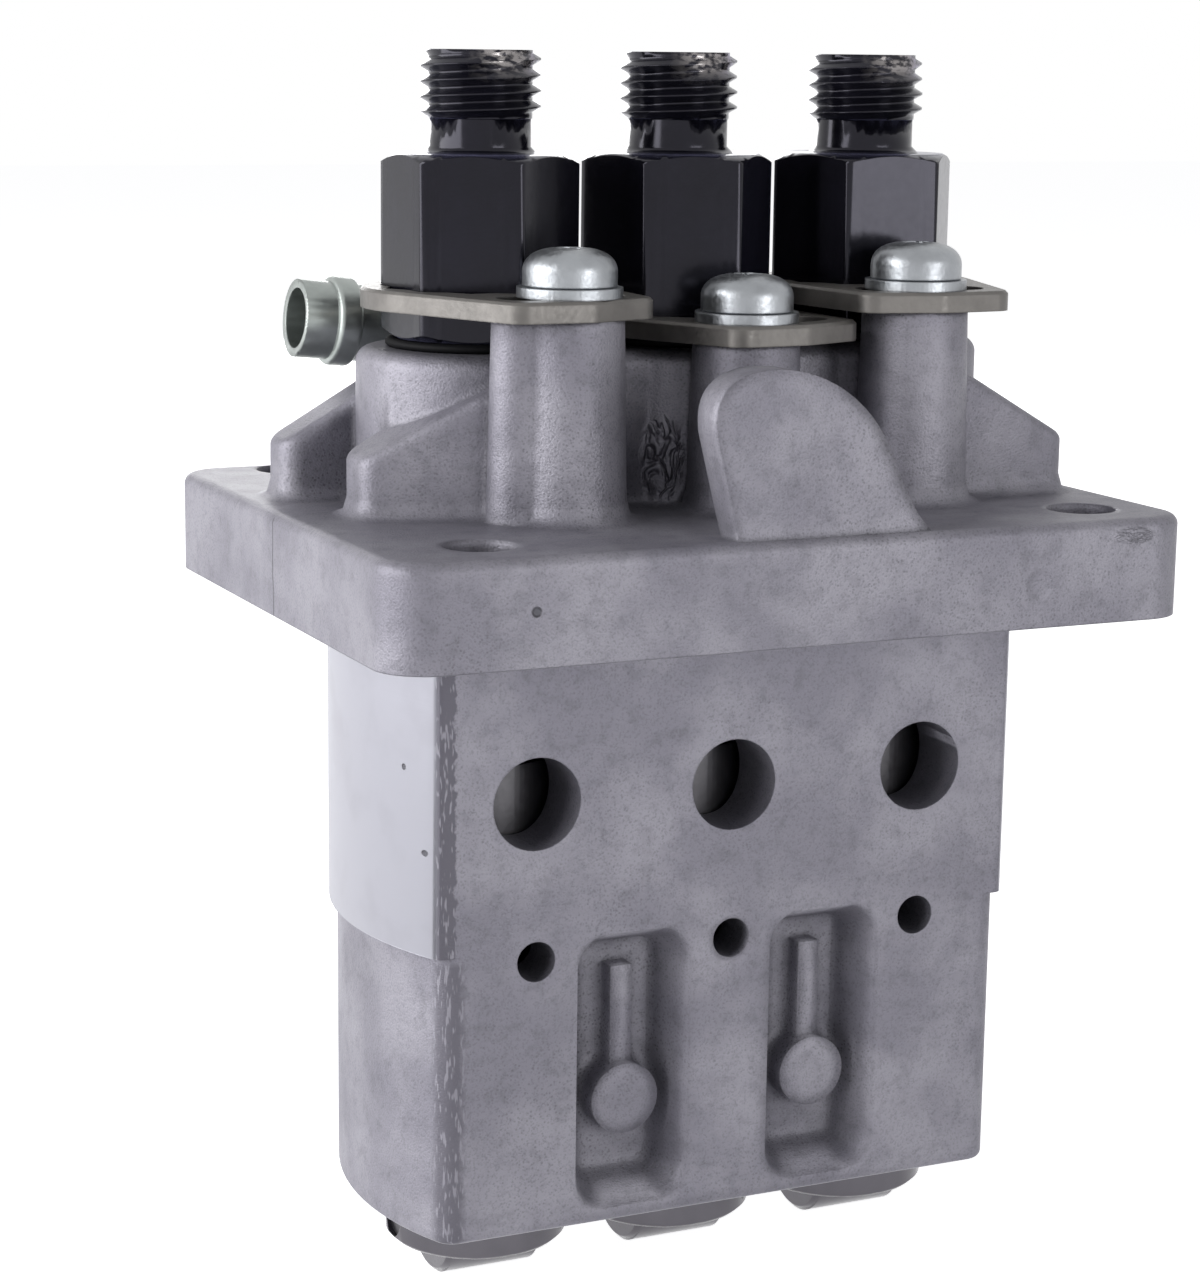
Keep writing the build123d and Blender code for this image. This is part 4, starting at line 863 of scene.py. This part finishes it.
class PUMP_OT_plates(bpy.types.Operator):
    """Finishes the lock plates, their washers and their screws"""

    bl_idname = "injection_pump.plates"
    bl_label = "Lock plates and screws"

    def execute(self, context):
        group = settings().plates
        # Rolled steel plate: dull grey-brown, stained, with the coarse marks of the blanking press
        plate_steel = bare_metal(
            "rolled_plate_steel", group.steel, 0.42, metallic=0.6, grain=0.5, depth=0.02, stain=0.5
        )
        # Bright zinc on steel: silvery, glossy, with a fine orange-peel skin
        zinc = bare_metal(
            "bright_zinc_plate", group.zinc, 0.36, metallic=1.0, grain=0.4, depth=0.03, stain=0.45
        )
        for number in ELEMENTS:
            smooth_copy(f"lock_plate_finished_{number}", f"lock_plate_{number}", plate_steel)
        smooth_copy("flat_washers", "lock_plate_washers", zinc)

        # The screws are turned anew in their CAD places. Each was tightened to its own angle
        cad_screws = frame["nodes"]["lock_plate_screws"].data
        first_turn, turn_between = 18, 31
        screws = bmesh.new()
        for index, number in enumerate(ELEMENTS):
            x = (POST_ROW_X + POST_PITCH * (number - ELEMENTS[1])) * MM
            top = max(v.co.z for v in cad_screws.vertices if abs(v.co.x - x) < POST_PITCH / 2 * MM)
            turn = first_turn + turn_between * index
            join_into(screws, pan_head_screw(group, x, POST_ROW_Y * MM, top, turn))
        finish_piece("cross_head_screws", screws, "lock_plate_screws", zinc, crease=28.0)
        return {"FINISHED"}


class PUMP_OT_inlet(bpy.types.Operator):
    """Finishes the fuel inlet elbow"""

    bl_idname = "injection_pump.inlet"
    bl_label = "Fuel inlet"

    def execute(self, context):
        # Dull zinc on steel tube: greenish grey and half gloss
        zinc = bare_metal(
            "dull_zinc_plate",
            settings().inlet.zinc,
            0.34,
            metallic=0.85,
            grain=0.9,
            depth=0.012,
            stain=0.5,
        )
        smooth_copy("inlet_elbow_finished", "fuel_inlet_elbow", zinc)
        return {"FINISHED"}


class PUMP_OT_tappets(bpy.types.Operator):
    """Finishes the tappets, the rollers and the rest of the steel"""

    bl_idname = "injection_pump.tappets"
    bl_label = "Tappets and steel pieces"

    def execute(self, context):
        group = settings().tappets
        # Hardened steel, ground and polished: dark and glossy
        polished = bare_metal("polished_steel", group.polished, 0.17, grain=0.4, depth=0.003, stain=0.2)
        # Plain machined steel, oiled: grey and half dull
        plain = bare_metal("oiled_steel", group.plain, 0.38)
        # Annealed copper sheet: soft red metal, slightly tarnished
        copper = bare_metal("annealed_copper", group.copper, 0.4)
        for number in ELEMENTS:
            smooth_copy(f"roller_tappet_{number}", f"tappet_{number}", polished)
            smooth_copy(f"cam_roller_{number}", f"tappet_roller_{number}", polished)
        # The pieces hidden inside keep their CAD meshes
        for name, member in frame["nodes"].items():
            if name == "valve_seat_gaskets":
                paint(member, copper)
            elif name.startswith(HIDDEN_STEEL) and not name.startswith(FINISHED_STEEL):
                paint(member, plain)
        smooth_copy("sliding_rack", "control_rack", plain)
        smooth_copy("link_pin", "rack_link_pin", plain)
        smooth_copy("rack_screws", "rack_guide_screws", plain)
        for number in ELEMENTS:
            smooth_copy(f"turning_sleeve_{number}", f"control_sleeve_{number}", plain)
        return {"FINISHED"}


class PUMP_OT_springs(bpy.types.Operator):
    """Finishes the springs, which shorten as their tappet or valve lifts"""

    bl_idname = "injection_pump.springs"
    bl_label = "Springs"

    def execute(self, context):
        # Oil tempered spring wire: dark grey and half gloss
        wire = bare_metal("tempered_spring_wire", settings().tappets.wire, 0.3)
        for joint in frame["record"]["behaviour"]["joints"]:
            for shortened in joint.get("deforming_nodes", ()):
                cad_node = shortened["node"]
                spring = smooth_copy(f"coiled_{cad_node}", cad_node, wire)
                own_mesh(spring)
        return {"FINISHED"}


class PUMP_OT_stage(bpy.types.Operator):
    """Adds the floor, the lamps, the world and the camera"""

    bl_idname = "injection_pump.stage"
    bl_label = "Stage"

    def execute(self, context):
        scene = context.scene
        scene.view_settings.view_transform = "Standard"
        self.floor(scene)
        self.world(scene)
        self.lamps(scene)
        self.camera(scene)
        return {"FINISHED"}

    def floor(self, scene):
        """A wide floor just below the pump. From below it is clear, so that the underside shows."""
        group = settings().stage
        gap, reach = 0.2 * MM, 3.0
        bm = bmesh.new()
        bmesh.ops.create_grid(bm, x_segments=1, y_segments=1, size=reach)
        bmesh.ops.translate(bm, verts=bm.verts, vec=(0, 0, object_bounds()[0][2] - gap))
        floor = bpy.data.objects.new("floor", mesh_from("floor", bm))
        scene.collection.objects.link(floor)
        floor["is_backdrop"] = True
        material = bpy.data.materials.new("pale_floor")
        material.use_nodes = True
        tree = material.node_tree
        tree.nodes.clear()
        matt = node(tree, "BsdfDiffuse", {"Color": group.floor})
        glow = node(tree, "Emission", {"Color": WHITE, "Strength": group.glow})
        lit = node(tree, "AddShader", {0: matt, 1: glow})
        shown = node(tree, "MixShader", {0: self.seen_directly(tree), 1: matt, 2: lit})
        under = node(tree, "NewGeometry", {}, "Backfacing")
        clear = node(tree, "BsdfTransparent", {})
        surface = node(tree, "MixShader", {0: under, 1: shown, 2: clear})
        node(tree, "OutputMaterial", {"Surface": surface})
        floor.data.materials.append(material)

    def world(self, scene):
        """A dim and slightly cool sky, which the camera sees as plain white."""
        world = bpy.data.worlds.new("studio")
        world.use_nodes = True
        tree = world.node_tree
        tree.nodes.clear()
        cool = (0.95, 0.96, 1.0, 1.0)
        dim = node(tree, "Background", {"Color": cool, "Strength": settings().stage.sky})
        white = node(tree, "Background", {"Color": WHITE, "Strength": 1.0})
        surface = node(tree, "MixShader", {0: self.seen_directly(tree), 1: dim, 2: white})
        node(tree, "OutputWorld", {"Surface": surface})
        scene.world = world

    def seen_directly(self, tree):
        """1 for rays from the camera, off metal or through glass, which see a white studio."""
        path = node(tree, "LightPath", {}).node.outputs
        seen = {0: path["Is Camera Ray"], 1: path["Is Glossy Ray"]}
        seen = node(tree, "Math", seen, operation="MAXIMUM")
        seen = {0: seen, 1: path["Is Transmission Ray"]}
        return node(tree, "Math", seen, operation="MAXIMUM")

    def lamps(self, scene):
        """Three square softboxes that face the pump, placed and sized in metres."""
        group = settings().stage
        pump_middle = Vector((0, 0, -0.01))
        for name, spot, size, watts in (
            ("left_softbox", (-1.0, 0.1, 0.1), 1.1, group.key_power),
            ("front_softbox", (0.34, -0.94, 0.1), 0.42, group.fill_power),
            ("rear_softbox", (0.25, 0.97, 0.12), 0.5, group.rear_power),
        ):
            data = bpy.data.lights.new(name, "AREA")
            data.shape = "SQUARE"
            data.size = size
            data.energy = watts
            lamp = bpy.data.objects.new(name, data)
            turn = (pump_middle - Vector(spot)).to_track_quat("-Z", "Y").to_matrix()
            lamp.matrix_world = Matrix.Translation(spot) @ turn.to_4x4()
            scene.collection.objects.link(lamp)

    def camera(self, scene):
        """The camera that took the photograph."""
        camera = bpy.data.objects.new("camera", bpy.data.cameras.new("camera"))
        azimuth = math.radians(CAMERA_AZIMUTH)
        elevation = math.radians(CAMERA_ELEVATION)
        roll = math.radians(CAMERA_ROLL)
        back = Vector(
            (
                math.sin(azimuth) * math.cos(elevation),
                -math.cos(azimuth) * math.cos(elevation),
                math.sin(elevation),
            )
        )
        right = Vector((math.cos(azimuth), math.sin(azimuth), 0.0))
        up = back.cross(right)
        turned_right = right * math.cos(roll) + up * math.sin(roll)
        turned_up = up * math.cos(roll) - right * math.sin(roll)
        turn = Matrix((turned_right, turned_up, back)).transposed()
        camera.matrix_world = Matrix.Translation(Vector(CAMERA_SPOT) * MM) @ turn.to_4x4()
        camera.data.lens = CAMERA_LENS
        camera.data.sensor_width = 36.0
        camera.data.clip_start = 0.01
        scene.collection.objects.link(camera)
        scene.camera = camera


class PUMP_PT_panel(bpy.types.Panel):
    """Lists the pump's operators and settings"""

    bl_idname = "PUMP_PT_panel"
    bl_label = "Injection pump"
    bl_space_type = "VIEW_3D"
    bl_region_type = "UI"
    bl_category = "Injection pump"

    def draw(self, context):
        for operator in OPERATORS:
            self.layout.operator(operator.bl_idname)
        group = context.scene.injection_pump
        for name in PumpSettings.__annotations__:
            box = self.layout.box()
            box.label(text=name.capitalize())
            part = getattr(group, name)
            for key in part.__annotations__:
                box.prop(part, key)


OPERATORS = (
    PUMP_OT_casting,
    PUMP_OT_fittings,
    PUMP_OT_plates,
    PUMP_OT_inlet,
    PUMP_OT_tappets,
    PUMP_OT_springs,
    PUMP_OT_stage,
)
CLASSES = (
    CastingSettings,
    FittingSettings,
    PlateSettings,
    InletSettings,
    TappetSettings,
    StageSettings,
    PumpSettings,
    *OPERATORS,
    PUMP_PT_panel,
)


def register():
    for item in CLASSES:
        bpy.utils.register_class(item)
    bpy.types.Scene.injection_pump = PointerProperty(type=PumpSettings)


def unregister():
    del bpy.types.Scene.injection_pump
    for item in reversed(CLASSES):
        bpy.utils.unregister_class(item)


def main():
    """Registers the add-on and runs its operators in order."""
    register()
    for operator in OPERATORS:
        group, name = operator.bl_idname.split(".")
        getattr(getattr(bpy.ops, group), name)()


if __name__ == "__main__":
    main()
